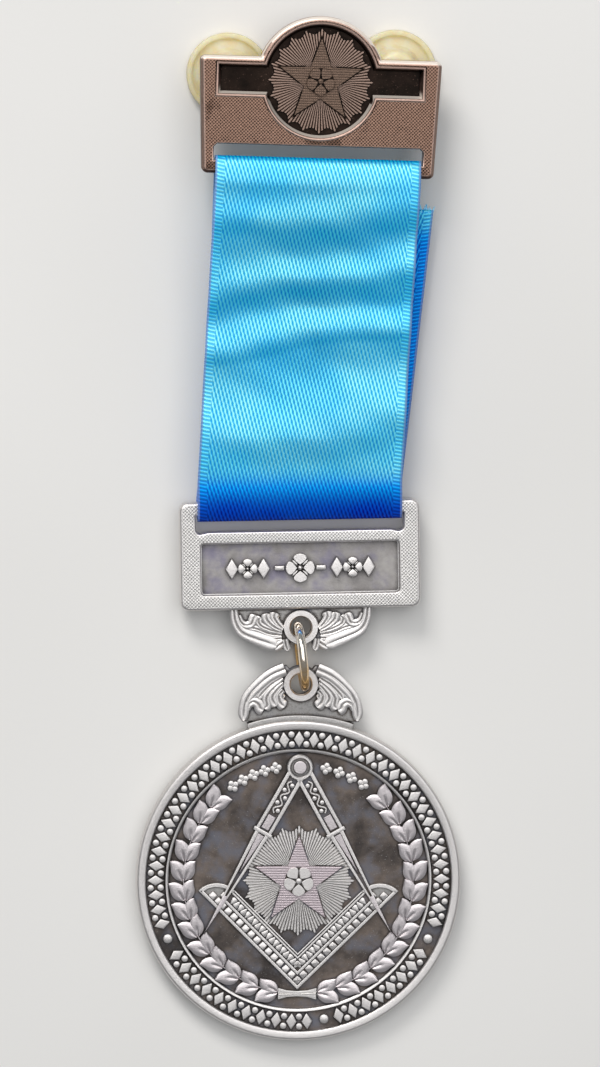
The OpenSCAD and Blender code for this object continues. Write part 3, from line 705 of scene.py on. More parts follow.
@dataclass(frozen=True)
class SatinFinish:
    """Sky-blue satin with steep diagonal floats and firm selvedges, with highlight and shade painted into its
    colour; UVs are in metres of cloth.

    Attributes:
        name: Name of the material.
        width: Width of the cloth; this and all other lengths are in millimetres.
        lines: Pitch and lean in degrees of the weave's strong lines.
        steps: Pitch and lean of the fainter lines that break them into floats.
        foot_y: Where the cloth turns under; painted shade deepens toward it.
        strip_y: Where the strip of its back layer ends; painted shade deepens below it.
        selvedge: Width of a selvedge.
        rung: Pitch of the threads across it.
        hollow: Colours between the threads: away from the light, in it, in half shade and in deep shade.
        crest: Colours of the threads in the same four lights.
        haze: A tint that lies over the cloth in clouds.
        rim: Colour of the cloth's very edge.
    """

    name: str = "satin_ribbon"
    width: float = 31.4
    lines: tuple[float, float] = (0.533, 16.9)
    steps: tuple[float, float] = (0.717, -31.7)
    foot_y: float = 2.0
    strip_y: float = 50.2
    selvedge: float = 1.4
    rung: float = 0.58
    hollow: Sequence[Colour] = ((0.0, 0.23, 0.74), (0.01, 0.40, 0.74), (0.0, 0.12, 0.66), (0.0, 0.004, 0.34))
    crest: Sequence[Colour] = ((0.0, 0.66, 1.0), (0.30, 0.86, 0.93), (0.0, 0.42, 1.0), (0.0, 0.09, 0.88))
    haze: Colour = (0.01, 0.34, 0.86)
    rim: Colour = (0.30, 0.45, 0.92)

    def floats(self, graph: Graph, u: Socket, v: Socket) -> Socket:
        """Return the long threads of the satin, 1 on a thread and 0 between threads."""
        waves = []
        for (pitch, lean), share in ((self.lines, 0.72), (self.steps, 0.28)):
            a = math.radians(lean)
            across = graph.plus(graph.times(u, math.cos(a)), graph.times(v, math.sin(a)))
            waves.append(graph.times(graph.wave(across, pitch, "COSINE"), share))
        return graph.scale(graph.plus(*waves), -0.85, 0.65)

    def painted_shade(self, graph: Graph) -> Socket:
        """Return painted shade: 1 where the cloth turns under at its foot or lies behind, and 0 on the front
        layer.
        """
        _, y, z = graph.xyz(graph.millimetres(graph.add("TexCoord").outputs["Object"]))
        foot = graph.scale(y, self.foot_y + 9.5, self.foot_y)
        behind = graph.scale(z, 6.0, 5.0)
        strip = graph.times(behind, graph.scale(y, self.strip_y - 1.5, self.strip_y - 7.0, 0.0, 0.6))
        return graph.math("MAXIMUM", foot, strip)

    def painted_highlight(self, graph: Graph) -> Socket:
        """Return a painted highlight by how far the floats lie toward the light, dimmed by painted shade
        where little sky is open: 1 in a highlight and 0 in a hollow.
        """
        _, slope, _ = graph.xyz(graph.add("NewGeometry").outputs["Normal"])
        lit = graph.times(graph.scale(slope, -0.60, 0.19), graph.scale(slope, 0.90, 0.40))
        return graph.times(lit, graph.scale(graph.open_sky(5.0, samples=4), 0.45, 0.97))

    def level(self, graph: Graph, glow: Socket, shade: Socket, colours: Sequence[Colour]) -> Socket:
        """Return the colour of one level of the weave.

        Args:
            graph: The material's nodes.
            glow: How far it lies toward the light.
            shade: How far it lies in shade.
            colours: Its colours away from the light, in the light, in half shade and in deep shade.

        Returns:
            The colour.
        """
        away, lit, half, deep = colours
        colour = graph.mix(graph.scale(shade, 0.0, 0.5), graph.mix(glow, away, lit), half)
        return graph.mix(graph.scale(shade, 0.4, 1.0), colour, deep)

    def make(self) -> Material:
        """Build the material."""
        graph = Graph(self.name)
        place = graph.millimetres(graph.add("UVMap", uv_map="cloth").outputs[0])
        u, v, _ = graph.xyz(place)
        from_edge = graph.minus(self.width / 2, graph.math("ABSOLUTE", u))
        hem = graph.scale(from_edge, self.selvedge + 0.1, self.selvedge - 0.1)
        rungs = graph.wave(graph.plus(v, graph.times(u, 0.2)), self.rung)
        threads = {0: hem, 2: self.floats(graph, u, v), 3: graph.scale(rungs, -0.5, 0.7, 0.25, 0.95)}
        weave = graph.add("Mix", threads, data_type="FLOAT").outputs[0]
        patch = graph.scale(graph.noise(place, 0.075, 2.0), 0.36, 0.62, 0.62, 1.12)
        # Painted light: the glow is a highlight painted by which way the cloth faces, and the shade is
        # painted where it turns under or lies behind.
        glow = graph.times(self.painted_highlight(graph), patch)
        shade = self.painted_shade(graph)
        low, high = (self.level(graph, glow, shade, colours) for colours in (self.hollow, self.crest))
        cloud = graph.times(graph.scale(graph.noise(place, 0.12), 0.3, 0.7), 0.15)
        base = graph.mix(cloud, graph.mix(weave, low, high), self.haze)
        base = graph.mix(graph.times(graph.scale(from_edge, 0.38, 0.2), 0.7), base, self.rim)
        graph.set(Base_Color=base, Metallic=0.45, Roughness=graph.scale(weave, 0.0, 1.0, 0.55, 0.36),
                  Specular_IOR_Level=0.12, Anisotropic=0.4, Normal=graph.bump(weave, 0.05, 0.8))
        return graph.material


@dataclass(frozen=True)
class ThreadFinish:
    """Loose pale blue threads."""

    name: str = "satin_ribbon_thread"

    def make(self) -> Material:
        """Build the material."""
        graph = Graph(self.name)
        graph.set(Base_Color=(0.22, 0.68, 0.95), Roughness=0.5)
        return graph.material


@dataclass(frozen=True)
class FloorFinish:
    """Plain pale paper."""

    name: str = "pale_floor"

    def make(self) -> Material:
        """Build the material."""
        graph = Graph(self.name)
        place = graph.add("TexCoord").outputs["Object"]
        tone = graph.scale(graph.noise(place, 9.0, 2.0), 0.3, 0.7)
        graph.set(Base_Color=graph.mix(tone, (0.76, 0.75, 0.73), (0.80, 0.79, 0.77)), Roughness=0.8,
                  Normal=graph.bump(graph.noise(place, 900.0, 3.0), 0.03, 0.3))
        return graph.material


SILVER = CastFinish("antique_silver", bright=(0.74, 0.71, 0.695), tint=(0.38, 0.37, 0.36),
                    dark=(0.044, 0.037, 0.035), cold=(0.135, 0.148, 0.190), warm=(0.185, 0.148, 0.125))
# Pink-lilac tint of the leaves: a painted reflection of pinkish light.
PINK_LIT_SILVER = replace(SILVER, name="antique_silver_pink_lit", bright=(0.70, 0.65, 0.66), tint=(0.45, 0.40, 0.415))
# The star's pink-lilac tint is the same painted reflection.
HATCHED_SILVER = replace(SILVER, name="antique_silver_hatched", bright=(0.56, 0.485, 0.51),
                         tint=(0.40, 0.335, 0.36), shade=0.4, tooling=Tooling.HATCHED, pitch=0.38,
                         pit_depth=0.15, tool_mm=0.035)
STIPPLED_SILVER = replace(SILVER, name="antique_silver_stippled", bright=(0.86, 0.835, 0.81),
                          tint=(0.46, 0.445, 0.43), dark=(0.10, 0.095, 0.095), cold=(0.13, 0.13, 0.14),
                          warm=(0.16, 0.15, 0.14), tooling=Tooling.STIPPLED, pitch=0.54, pit_depth=0.42)
# The panel's wider cavity spreads the painted shade 1.1 mm out from its walls.
PANEL_SILVER = replace(SILVER, name="antique_silver_panel", bright=(0.66, 0.64, 0.63),
                       tint=(0.38, 0.36, 0.37), dark=(0.24, 0.225, 0.22), cold=(0.19, 0.175, 0.26),
                       warm=(0.42, 0.40, 0.385), cavity_mm=1.1, shade=0.25, oxide=0.5)
# Copper's edge colour is the painted highlight on the brooch bar's walls that face north.
COPPER = CastFinish("antique_copper", bright=(0.42, 0.29, 0.24), tint=(0.18, 0.11, 0.085),
                    dark=(0.006, 0.004, 0.003), cold=(0.014, 0.008, 0.006), warm=(0.024, 0.015, 0.011),
                    oxide=0.92, edge=(0.82, 0.74, 0.66))
BURST_COPPER = replace(COPPER, name="antique_copper_burst", bright=(0.27, 0.19, 0.155),
                       tint=(0.09, 0.06, 0.046))
STIPPLED_COPPER = replace(COPPER, name="antique_copper_stippled", bright=(0.33, 0.20, 0.148),
                          tint=(0.15, 0.088, 0.062), dark=(0.03, 0.018, 0.014), warm=(0.05, 0.03, 0.024),
                          tooling=Tooling.STIPPLED, pitch=0.52, pit_depth=0.6, oxide=0.8, patches=0.45)
HATCHED_COPPER = replace(COPPER, name="antique_copper_hatched", bright=(0.135, 0.092, 0.07),
                         tint=(0.075, 0.05, 0.037), shade=0.5, tooling=Tooling.HATCHED, pitch=0.38,
                         pit_depth=0.18, tool_mm=0.035)


# Pieces

@dataclass(frozen=True)
class Seat:
    """Where a piece's own frame stands in the scene, in millimetres and degrees.

    The piece can lean about a level line at hinge_y, as the medal does.
    """

    x: float
    y: float
    z: float
    turned: float = 0.0
    hinge_y: float = 0.0
    tilt: float = 0.0

    @property
    def matrix(self) -> Matrix:
        """Return the placement from millimetres in the piece's frame to metres in the scene."""
        lean = shift(0, self.hinge_y) @ turn(self.tilt, "X") @ shift(0, -self.hinge_y)
        return Matrix.Diagonal((MM, MM, MM, 1)) @ shift(self.x, self.y, self.z) @ turn(self.turned) @ lean


class Casting:
    """A piece put together from forms, with a value on each point for its patina: its wear, and painted light
    where a piece marks it.
    """

    def __init__(self, seat: Seat) -> None:
        """Start an empty casting that will be seated there."""
        self.seat = seat
        self.bm = bmesh.new()
        self.wear_and_light = self.bm.verts.layers.float.new("wear_and_light")

    def add(self, form: Form, place: Matrix | None = None, ground: float = 0.0, top: float = 1.0,
            finish: int | None = 0, wear_and_light: float | None = None) -> None:
        """Add a copy of a form.

        Args:
            form: The form.
            place: Where it goes in the piece's frame.
            ground: Height at which its wear is 0, after it is placed.
            top: Height at which its wear is 1.
            finish: Number of its material, or None to keep the form's own numbers.
            wear_and_light: One wear value for the whole form, in place of the heights.
        """
        scratch = bpy.data.meshes.new("stamp")
        form.bm.to_mesh(scratch)
        first_vert, first_face = len(self.bm.verts), len(self.bm.faces)
        self.bm.from_mesh(scratch)
        bpy.data.meshes.remove(scratch)
        self.bm.verts.ensure_lookup_table()
        self.bm.faces.ensure_lookup_table()
        verts, faces = self.bm.verts[first_vert:], self.bm.faces[first_face:]
        if place is not None:
            bmesh.ops.transform(self.bm, matrix=place, verts=verts)
            if place.determinant() < 0:
                bmesh.ops.reverse_faces(self.bm, faces=faces)
        for v in verts:
            v[self.wear_and_light] = min(1.0, max(0.0, (v.co.z - ground) / (top - ground))) if wear_and_light is None else wear_and_light
        if finish is not None:
            for f in faces:
                f.material_index = finish

    def settle(self, name: str, slot: str, node: str, finishes: Sequence[Material]) -> Object:
        """Seat the piece in the scene and register it.

        Args:
            name: Name of the piece.
            slot: Name of a material slot; not used.
            node: The CAD node that it stands for.
            finishes: Its materials, by number.

        Returns:
            The object.
        """
        bmesh.ops.transform(self.bm, matrix=self.seat.matrix, verts=self.bm.verts)
        mesh = bpy.data.meshes.new(name)
        self.bm.to_mesh(mesh)
        self.bm.free()
        mesh.shade_smooth()
        mesh.set_sharp_from_angle(angle=math.radians(40))
        for finish in finishes:
            mesh.materials.append(finish)
        piece = link(name, mesh)
        piece.modifiers.new("flat_faces", "WEIGHTED_NORMAL").keep_sharp = True
        register(piece, node)
        return piece


def register(piece: Object, node: str) -> None:
    """Attach a piece to the frame's root, hide the CAD node that it stands for, and log it."""
    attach(piece, "root")
    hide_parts(node)
    log.info("%s: %d faces", piece.name, len(piece.data.polygons))


def pillow(height: float, rise: float = 0.45) -> Section:
    """Return a round section that starts at a share of its height at the sides."""
    return lambda t, s: height * (rise + (1 - rise) * math.sqrt(max(0.0, 1 - s * s)))


def veined(height: float, vein: float, rise: float = 0.35) -> Section:
    """Return a leaf's section: a broad back with a short vein sunk along its lower half."""
    def crown(t: float, s: float) -> float:
        """Return the height at a share of the length and of the half width."""
        swell = (1 - abs(s) ** 3) * (0.7 + 0.3 * math.sin(math.pi * min(1.0, t * 1.05)))
        sunk = math.exp(-(s / 0.13) ** 2) * min(1.0, max(0.0, (0.5 - t) / 0.15))
        return height * (rise + (1 - rise) * swell) - vein * sunk
    return crown


def grooved(height: float, groove: float) -> Section:
    """Return the section of a frond: flat, with rounded sides and a fine groove along its middle."""
    def crown(t: float, s: float) -> float:
        """Return the height at a share of the length and of the half width."""
        return height * (0.72 + 0.28 * (1 - abs(s) ** 5)) - groove * math.exp(-(s / 0.12) ** 2) * (1 - t ** 4)
    return crown


@dataclass
class StarGroup:
    """Sunburst, five-point star and rosette, as on the medal and in the brooch bar."""

    radius: float = 8.6
    rays: int = 100
    groove: float = 0.11
    burst_h: float = 0.45
    star_h: float = 0.74
    boss_h: float = 1.0
    # Radius of the star and of the rosette as shares of the sunburst's, and of the star's inner corners
    # as a share of the star's
    star_share: float = 0.826
    boss_share: float = 0.262
    notch: float = 0.4

    def star(self, height: float, grow: float, edge: float) -> Form:
        """Return a five-point star that stands grow outside the real one."""
        r = self.radius * self.star_share
        turns = [math.radians(90 + 36 * k) for k in range(10)]
        reaches = [r, r * self.notch] * 5
        points = [(reach * math.cos(a), reach * math.sin(a)) for reach, a in zip(reaches, turns)]
        form = Form.slab(inset(points, -grow), height, edge)
        for v in form.bm.verts:
            if v.co.z > 0:
                a = math.atan2(v.co.x, v.co.y) % math.radians(72)
                v.co.z -= 0.12 * math.sin(a * 2.5) ** 2
        return form

    def build(self, casting: Casting, centre: Point, z: float, plain: int, hatched: int, boss: int) -> None:
        """Add the group to a casting.

        Args:
            casting: The piece that carries it.
            centre: Its middle.
            z: Height of the plate under it.
            plain: Material of the sunburst.
            hatched: Material of the star.
            boss: Material of the rosette.
        """
        here = shift(*centre, z)
        burst_top = z + self.burst_h
        burst = Form.sunburst(self.radius, self.rays, self.burst_h, self.groove)
        casting.add(burst, here, burst_top - 0.9, burst_top - 0.08, plain)
        casting.add(self.star(self.burst_h + 0.1, 0.2, 0.0), here, finish=plain, wear_and_light=0.0)
        casting.add(self.star(self.star_h, 0.0, 0.08), here, finish=hatched, wear_and_light=1.0)
        r = self.radius * self.boss_share
        casting.add(Form.disc(r * 0.96, self.star_h + 0.04, 0.0), here, finish=plain, wear_and_light=0.0)
        petal = Form.petal(r * 0.86, r * 0.88, self.boss_h)
        for k in range(5):
            casting.add(petal, here @ turn(36 + 72 * k) @ shift(0, r * 0.2), finish=boss, wear_and_light=1.0)
        casting.add(Form.disc(r * 0.2, self.boss_h), here, finish=boss, wear_and_light=1.0)


@dataclass
class Medal:
    """The cast round medal with its tab; angles are in degrees from +X and lengths in millimetres."""

    # Plate: rim, band, inner ring and field
    radius: float = 25.0
    thick: float = 3.0
    rim_w: float = 1.45
    band_w: float = 2.95
    ring_w: float = 0.55
    field_t: float = 2.1
    # Ornament in the band and in the field: its height, a lozenge's size, pellets, and where the arcs run
    border_h: float = 0.55
    lozenge: Point = (1.72, 2.7)
    lozenge_pitch: float = 2.25
    pellet_r: float = 0.5
    pellet_off: float = 0.77
    large_pellet_r: float = 0.75
    arcs: Sequence[Point] = ((-17, 198), (212, 274), (287, 329))
    pellets: Sequence[float] = (204.5, 281, 335.7)
    rosettes_r: float = 17.95
    rosette_arcs: Sequence[tuple[float, float, int]] = ((102, 125, 5), (57, 77, 4))
    # Wreath: its radius, and a pair of leaves as side, length, width and splay
    wreath_r: float = 17.74
    leaf_pairs: int = 13
    leaves: Sequence[tuple[int, float, float, float]] = ((1, 3.75, 2.3, 31), (-1, 3.5, 2.15, 27))
    # Square: its tip below the centre, its arms, and how many studs and darts stand at which pitch
    square_tip: float = 17.04
    arm_l: float = 21.85
    arm_w: float = 4.0
    arm_h: float = 0.28
    square_h: float = 0.56
    studs: tuple[int, float] = (14, 1.27)
    darts: tuple[int, float] = (19, 0.78)
    # Compasses: the hinge, the collar's distance from it, the legs, and the heights of their faces and rails
    hinge_y: float = 17.7
    collar: float = 11.33
    leg_h: float = 0.6
    rail_h: float = 0.88
    leg_l: float = 29.81
    leg_w: float = 2.7
    leg_angle: float = 29.2
    rail_w: float = 0.56
    # Tab, and the place in the scene
    eyelet_y: float = 30.6
    seat: Seat = Seat(0, -MIDDLE_Y, 0, -0.6, -25.0, 2.1646)

    def plate(self, casting: Casting) -> None:
        """Add the turned plate with its rim and inner ring."""
        r, t, f = self.radius, self.thick, self.field_t
        band = r - self.rim_w
        ring = band - self.band_w
        step = ring - self.ring_w
        top = f + self.border_h
        low, high = 0.35, 0.45
        profile = [(0, 0), (12, 0), (r - low, 0)]
        profile += [(r - low + low * math.sin(a), low - low * math.cos(a)) for a in (0.52, 1.05, 1.57)]
        profile += [(r - high + high * math.cos(a), t - high + high * math.sin(a))
                    for a in (0.0, 0.4, 0.8, 1.2, 1.57)]
        profile += [(band + 0.25, t - 0.02), (band + 0.1, t - 0.12), (band, t - 0.35),
                    (band - 0.06, f + 0.05), (band - 0.2, f)]
        profile += [(ring + 0.12, f), (ring + 0.02, f + 0.1), (ring, top - 0.15), (ring - 0.1, top)]
        profile += [(step + 0.2, top), (step, top - 0.15), (step - 0.1, f + 0.06), (step - 0.25, f)]
        profile += [(10, f), (0, f)]
        casting.add(Form.lathe(profile, 256), None, f + 0.05, top)
        for v in casting.bm.verts:
            if v.co.z < f - 0.3:
                v[casting.wear_and_light] = 0.9

    def border(self, casting: Casting) -> None:
        """Add lozenges and pairs of pellets in three arcs, large pellets between them, and small rosettes."""
        f, h = self.field_t, self.border_h
        r = self.radius - self.rim_w - self.band_w / 2
        lozenge = Form.lozenge(*self.lozenge, h + 0.05)
        pellet = Form.disc(self.pellet_r, h, 0.1)
        for start, end in self.arcs:
            count = int(math.radians(end - start) * r / self.lozenge_pitch)
            for i in range(count + 1):
                casting.add(lozenge, around(blend(start, end, i / count), r, f), f, f + h * 0.8)
            for i in range(count):
                place = around(blend(start, end, (i + 0.5) / count), r, f)
                for side in (-1, 1):
                    casting.add(pellet, place @ shift(0, side * self.pellet_off), f, f + h * 0.6)
        for angle in self.pellets:
            casting.add(Form.disc(self.large_pellet_r, h, 0.25), around(angle, r, f), f, f + h * 0.6)
        petal, bead = Form.disc(0.44, 0.5, 0.08), Form.bead(0.28, 0.62)
        for start, end, count in self.rosette_arcs:
            for i in range(count):
                place = around(blend(start, end, i / (count - 1)), self.rosettes_r, f)
                for k in range(4):
                    casting.add(petal, place @ turn(90 * k) @ shift(0, 0.5), wear_and_light=POLISHED)
                casting.add(bead, place, wear_and_light=POLISHED)

    def wreath(self, casting: Casting) -> None:
        """Add two laurel branches and the tie at their foot."""
        f, r = self.field_t, self.wreath_r
        pick = random.Random(7)
        stem = Form.stroke(arc(0, 0, r, -84, 42, 12), lambda t: blend(0.2, 0.11, t), pillow(0.36), 80, 4)
        leaves = []
        for way, length, width, splay in self.leaves:
            knots = [(0, 0), (length * 0.35, way * 0.22), (length * 0.7, way * 0.28), (length, 0)]
            leaf = Form.stroke(knots, leaf_width(width, 0.40, 0.8), veined(0.6, 0.14, 0.74), 14, 10)
            leaves.append((leaf, way, splay))
        for side in (1, -1):
            here = flip(side) @ shift(0, 0, f)
            casting.add(stem, here, f, f + 0.3, 1)
            for i in range(self.leaf_pairs):
                for leaf, way, splay in leaves:
                    angle = -80 + i * 120 / (self.leaf_pairs - 1) + pick.uniform(-0.5, 0.5)
                    splayed = 90 - way * splay + pick.uniform(-2.5, 2.5)
                    place = turn(angle) @ shift(r + way * 0.12, 0) @ turn(splayed)
                    casting.add(leaf, here @ place @ turn(-2.5, "Y"), f + 0.02, f + 0.5, 1)
        lower = [(-3.0, -0.95), (-1.6, -0.55), (0, -0.45), (1.6, -0.55), (3.0, -0.95)]
        tie = lower + [(x, -y) for x, y in lower[::-1]]
        foot = shift(0, -r, f)
        casting.add(Form.slab(tie, 0.45, 0.14), foot, f, f + 0.4)
        for side in (-1, 1):
            knots = [(side * 0.6, 0), (side * 2.9, side * 0.1)]
            fold = Form.stroke(knots, lambda t: 0.12 + 0.1 * t, pillow(0.6), 6, 4)
            casting.add(fold, foot, f, f + 0.5)

    def bent_bar(self, low: float, high: float, reach: float) -> list[Point]:
        """Return the outline of a band that runs along both arms of the square.

        Args:
            low: Distance of its outer side from the square's outer edge.
            high: Distance of its inner side.
            reach: Length of an arm to its end.

        Returns:
            Corners of the bent band, counter-clockwise.
        """
        half = math.sqrt(0.5)
        right = [((along - across) * half, (along + across) * half - self.square_tip)
                 for along, across in ((low, low), (reach, low), (reach, high), (high, high))]
        return right + mirrored(right)[1:-1]

    def square(self, casting: Casting) -> None:
        """Add the square with its borders, studs and row of darts."""
        f, w, reach, h = self.field_t, self.arm_w, self.arm_l, self.square_h
        straight = reach - w
        casting.add(Form.slab(self.bent_bar(0, w, straight), self.arm_h, 0.06), shift(0, 0, f), wear_and_light=0.14)
        for low, high in ((0, 0.46), (1.6, 2.02), (w - 0.66, w - 0.36), (w - 0.24, w)):
            band = Form.slab(self.bent_bar(low, high, straight), h, 0.08)
            casting.add(band, shift(0, 0, f), wear_and_light=RUBBED)
        stud = Form.slab(rounded_box(1.06, 1.0, -0.5, 0.5, 0.2), h - 0.02, 0.1)
        dart = Form.slab([(-0.12, -0.6), (0.12, -0.6), (0.5, 0.3), (0.34, 0.56), (-0.34, 0.56), (-0.5, 0.3)],
                         h - 0.02, 0.1)
        end = Form.slab([(straight - 0.02, 0)] + arc(straight, 0, w, 0, 90, 12), self.arm_h, 0.06)
        rim = Form.slab(arc(straight, 0, w, 0, 90, 14) + arc(straight, 0, w - 0.65, 90, 0, 14), h, 0.12)
        foot = Form.slab(oblong(straight, reach - 0.2, 0, 0.52), h, 0.1)
        for side in (1, -1):
            arm = flip(side) @ shift(0, -self.square_tip, f) @ turn(45)
            count, pitch = self.studs
            for i in range(count):
                casting.add(stud, arm @ shift(1.04 + i * pitch, 1.03), wear_and_light=RUBBED)
            count, pitch = self.darts
            for i in range(count):
                casting.add(dart, arm @ shift(2.8 + i * pitch, 2.68) @ turn(180 * (i % 2)), wear_and_light=RUBBED)
            casting.add(end, arm, wear_and_light=0.6)
            casting.add(rim, arm, wear_and_light=RUBBED)
            casting.add(foot, arm, wear_and_light=RUBBED)
            for x, y in ((0.6, 1.04), (1.86, 1.04), (0.6, 2.3)):
                casting.add(stud, arm @ shift(straight + x, y), wear_and_light=RUBBED)

    def compasses(self, casting: Casting) -> None:
        """Add the compasses: two legs with panels, their collars, and the hinge."""
        f, w, c, rail_w = self.field_t, self.leg_w, self.collar, self.rail_w
        ground, top = f + 0.5, f + 0.85
        hinge = shift(0, self.hinge_y, f)
        for side in (1, -1):
            leg = hinge @ turn(side * self.leg_angle) @ flip(side)
            casting.add(Form.slab(oblong(-w / 2, w / 2, -c, -1.3), self.leg_h, 0.05), leg, wear_and_light=SUNK)
            for x in (-w / 2, w / 2 - rail_w):
                rail = Form.slab(oblong(x, x + rail_w, -c, -1.4), self.rail_h, 0.1)
                casting.add(rail, leg, wear_and_light=RUBBED)
            panel = Form.slab(oblong(-0.62, 0.62, -c + 0.35, -c + 2.7), 0.8, 0.1)
            casting.add(panel, leg, ground, top, 1)
            self.vine(casting, leg)
            collar = Form.slab(oblong(-w * 0.58, w * 0.58, -c - 0.55, -c + 0.1), 0.9, 0.14)
            casting.add(collar, leg, ground, top)
            self.blade(casting, leg, ground, top)
        casting.add(Form.disc(2.0, 0.62, 0.08, 48), hinge, f, f + 1.2)
        hoop = [(1.42, 0.3), (2.02, 0.3), (2.02, 0.75), (1.86, 0.92), (1.58, 0.92), (1.42, 0.75), (1.42, 0.3)]
        casting.add(Form.lathe(hoop, 48), hinge, ground, top)
        casting.add(Form.disc(1.05, 0.86, 0.2), hinge, ground, top, 1)

    def blade(self, casting: Casting, leg: Matrix, ground: float, top: float) -> None:
        """Add the tapering lower half of a leg, with two raised edges that meet."""
        w, c, tip = self.leg_w * 0.42, -self.collar - 0.5, -self.leg_l
        meet = blend(c, tip, 0.62)
        casting.add(Form.slab([(-w, c), (0, tip), (w, c)], 0.58, 0.04), leg, wear_and_light=SUNK)
        for side in (-1, 1):
            rail = [(side * w, c), (0, tip), (side * 0.14, meet), (side * (w - self.rail_w), c)]
            casting.add(Form.slab(rail[::-side], 0.9, 0.07), leg, wear_and_light=RUBBED)
        casting.add(Form.slab([(-0.4, meet), (0, tip), (0.4, meet)], 0.95, 0.1), leg, finish=1, wear_and_light=RUBBED)
        dart = [(-w * 0.48, c - 0.2), (0, blend(c, tip, 0.40)), (w * 0.48, c - 0.2)]
        casting.add(Form.slab(dart, 0.8, 0.08), leg, ground, top, 1)

    def vine(self, casting: Casting, leg: Matrix) -> None:
        """Add the small scroll with berries in a leg's upper panel."""
        knots = [(0.42 * math.sin(k * math.pi / 4), -2.5 - k * 0.28) for k in range(21)]
        casting.add(Form.stroke(knots, lambda t: 0.22, pillow(0.92, 0.8), 60, 4), leg, wear_and_light=POLISHED)
        for k in range(5):
            way = 1 if k % 2 else -1
            casting.add(Form.disc(0.36, 0.92, 0.1), leg @ shift(way * 0.36, -3.06 - k * 1.12), wear_and_light=POLISHED)

    def tab(self, casting: Casting) -> None:
        """Add the tab with its eyelet and leafy relief, and the ledge at its foot."""
        left = [(-9.0, -5.9), (-9.2, -4.6), (-9.1, -3.2), (-8.35, -1.7), (-7.0, -0.1), (-5.7, 1.05),
                (-4.4, 2.0), (-3.2, 2.62), (-2.2, 2.8)]
        outline = [tuple(p) for p in smooth_path(left, 33)]
        loop = outline + arc(0, 0, 2.82, 128, 52, 12) + mirrored(outline)
        here = shift(0, self.eyelet_y)
        Tab(strokes=MEDAL_TAB).build(casting, loop[::-1], here, 0)
        ledge = arc(0, -self.eyelet_y, 25.75, 108.5, 71.5, 30) + arc(0, -self.eyelet_y, 24.6, 71, 109, 30)
        casting.add(Form.slab(ledge[::-1], 2.3, 0.2, 0.7), here, 1.4, 2.6)

    def build(self) -> Object:
        """Make the medal and return it."""
        casting = Casting(self.seat)
        self.plate(casting)
        self.border(casting)
        self.wreath(casting)
        StarGroup().build(casting, (0, 0), self.field_t, 0, 2, 0)
        self.square(casting)
        self.compasses(casting)
        self.tab(casting)
        finishes = [finish.make(self.seat) for finish in (SILVER, PINK_LIT_SILVER, HATCHED_SILVER)]
        return casting.settle("medal_cast", "antique_silver", "medal", finishes)


# Raised leaves of the tabs, left half, measured from the middle of the eyelet.
# Columns: points of the path, width at its start, width at its end, height
MEDAL_TAB = (
    (((-2.5, 2.3), (-4.6, 1.35), (-6.6, -0.3), (-8.2, -2.2), (-8.75, -4.2), (-8.75, -5.8)), 0.9, 0.75, 0.5),
    (((-2.7, 1.7), (-4.8, 0.6), (-6.6, -0.9), (-7.7, -2.5)), 0.5, 0.75, 0.42),
    (((-8.3, -4.0), (-8.0, -3.2), (-7.2, -2.8), (-6.5, -3.2), (-6.2, -3.8), (-5.7, -4.05)), 0.5, 0.95, 0.5),
    (((-2.9, 1.0), (-4.6, -0.1), (-6.0, -1.5), (-6.5, -2.3)), 0.5, 0.6, 0.42),
    (((-2.9, 0.4), (-4.4, -0.9), (-5.3, -2.2), (-5.2, -3.3), (-5.6, -3.9)), 0.45, 0.8, 0.48),
    (((-2.8, 0.0), (-3.8, -1.1), (-4.4, -2.2), (-3.8, -3.55)), 0.4, 0.85, 0.5),
    (((-2.75, -0.9), (-3.35, -1.8), (-3.2, -2.8), (-2.45, -3.65)), 0.4, 0.9, 0.5),
    (((-3.4, -2.0), (-3.0, -1.7), (-2.6, -2.2)), 0.25, 0.4, 0.4),
)
DATE_TAB = (
    (((-10.3, 2.9), (-10.05, 1.0), (-9.1, -0.6), (-7.2, -1.55), (-5.2, -2.3), (-3.6, -2.9)), 0.55, 1.15, 0.5),
    (((-9.6, 2.0), (-9.2, 0.95), (-8.5, 0.45), (-7.7, 0.6), (-7.3, 1.4), (-6.9, 2.05)), 0.4, 0.8, 0.5),
    (((-3.0, -1.2), (-4.9, -0.9), (-6.6, -0.2), (-7.9, 0.1), (-8.9, 0.2)), 0.5, 0.5, 0.42),
    (((-3.0, -0.8), (-4.8, -0.3), (-6.2, 0.4), (-6.5, 1.2), (-6.1, 1.6)), 0.4, 0.6, 0.45),
    (((-2.9, -0.5), (-4.2, 0.2), (-5.2, 1.2), (-5.3, 2.3)), 0.4, 0.8, 0.5),
    (((-2.8, -0.2), (-3.7, 0.8), (-4.1, 1.6), (-3.9, 2.4)), 0.4, 0.8, 0.5),
    (((-3.0, -1.7), (-4.6, -1.7), (-6.6, -1.1), (-8.6, -0.5)), 0.45, 0.5, 0.42),
    (((-2.7, -2.2), (-3.4, -2.75), (-4.3, -3.1)), 0.5, 0.8, 0.45),
    (((-2.5, -1.8), (-2.35, -2.7), (-2.05, -3.6)), 0.5, 0.55, 0.48),
)


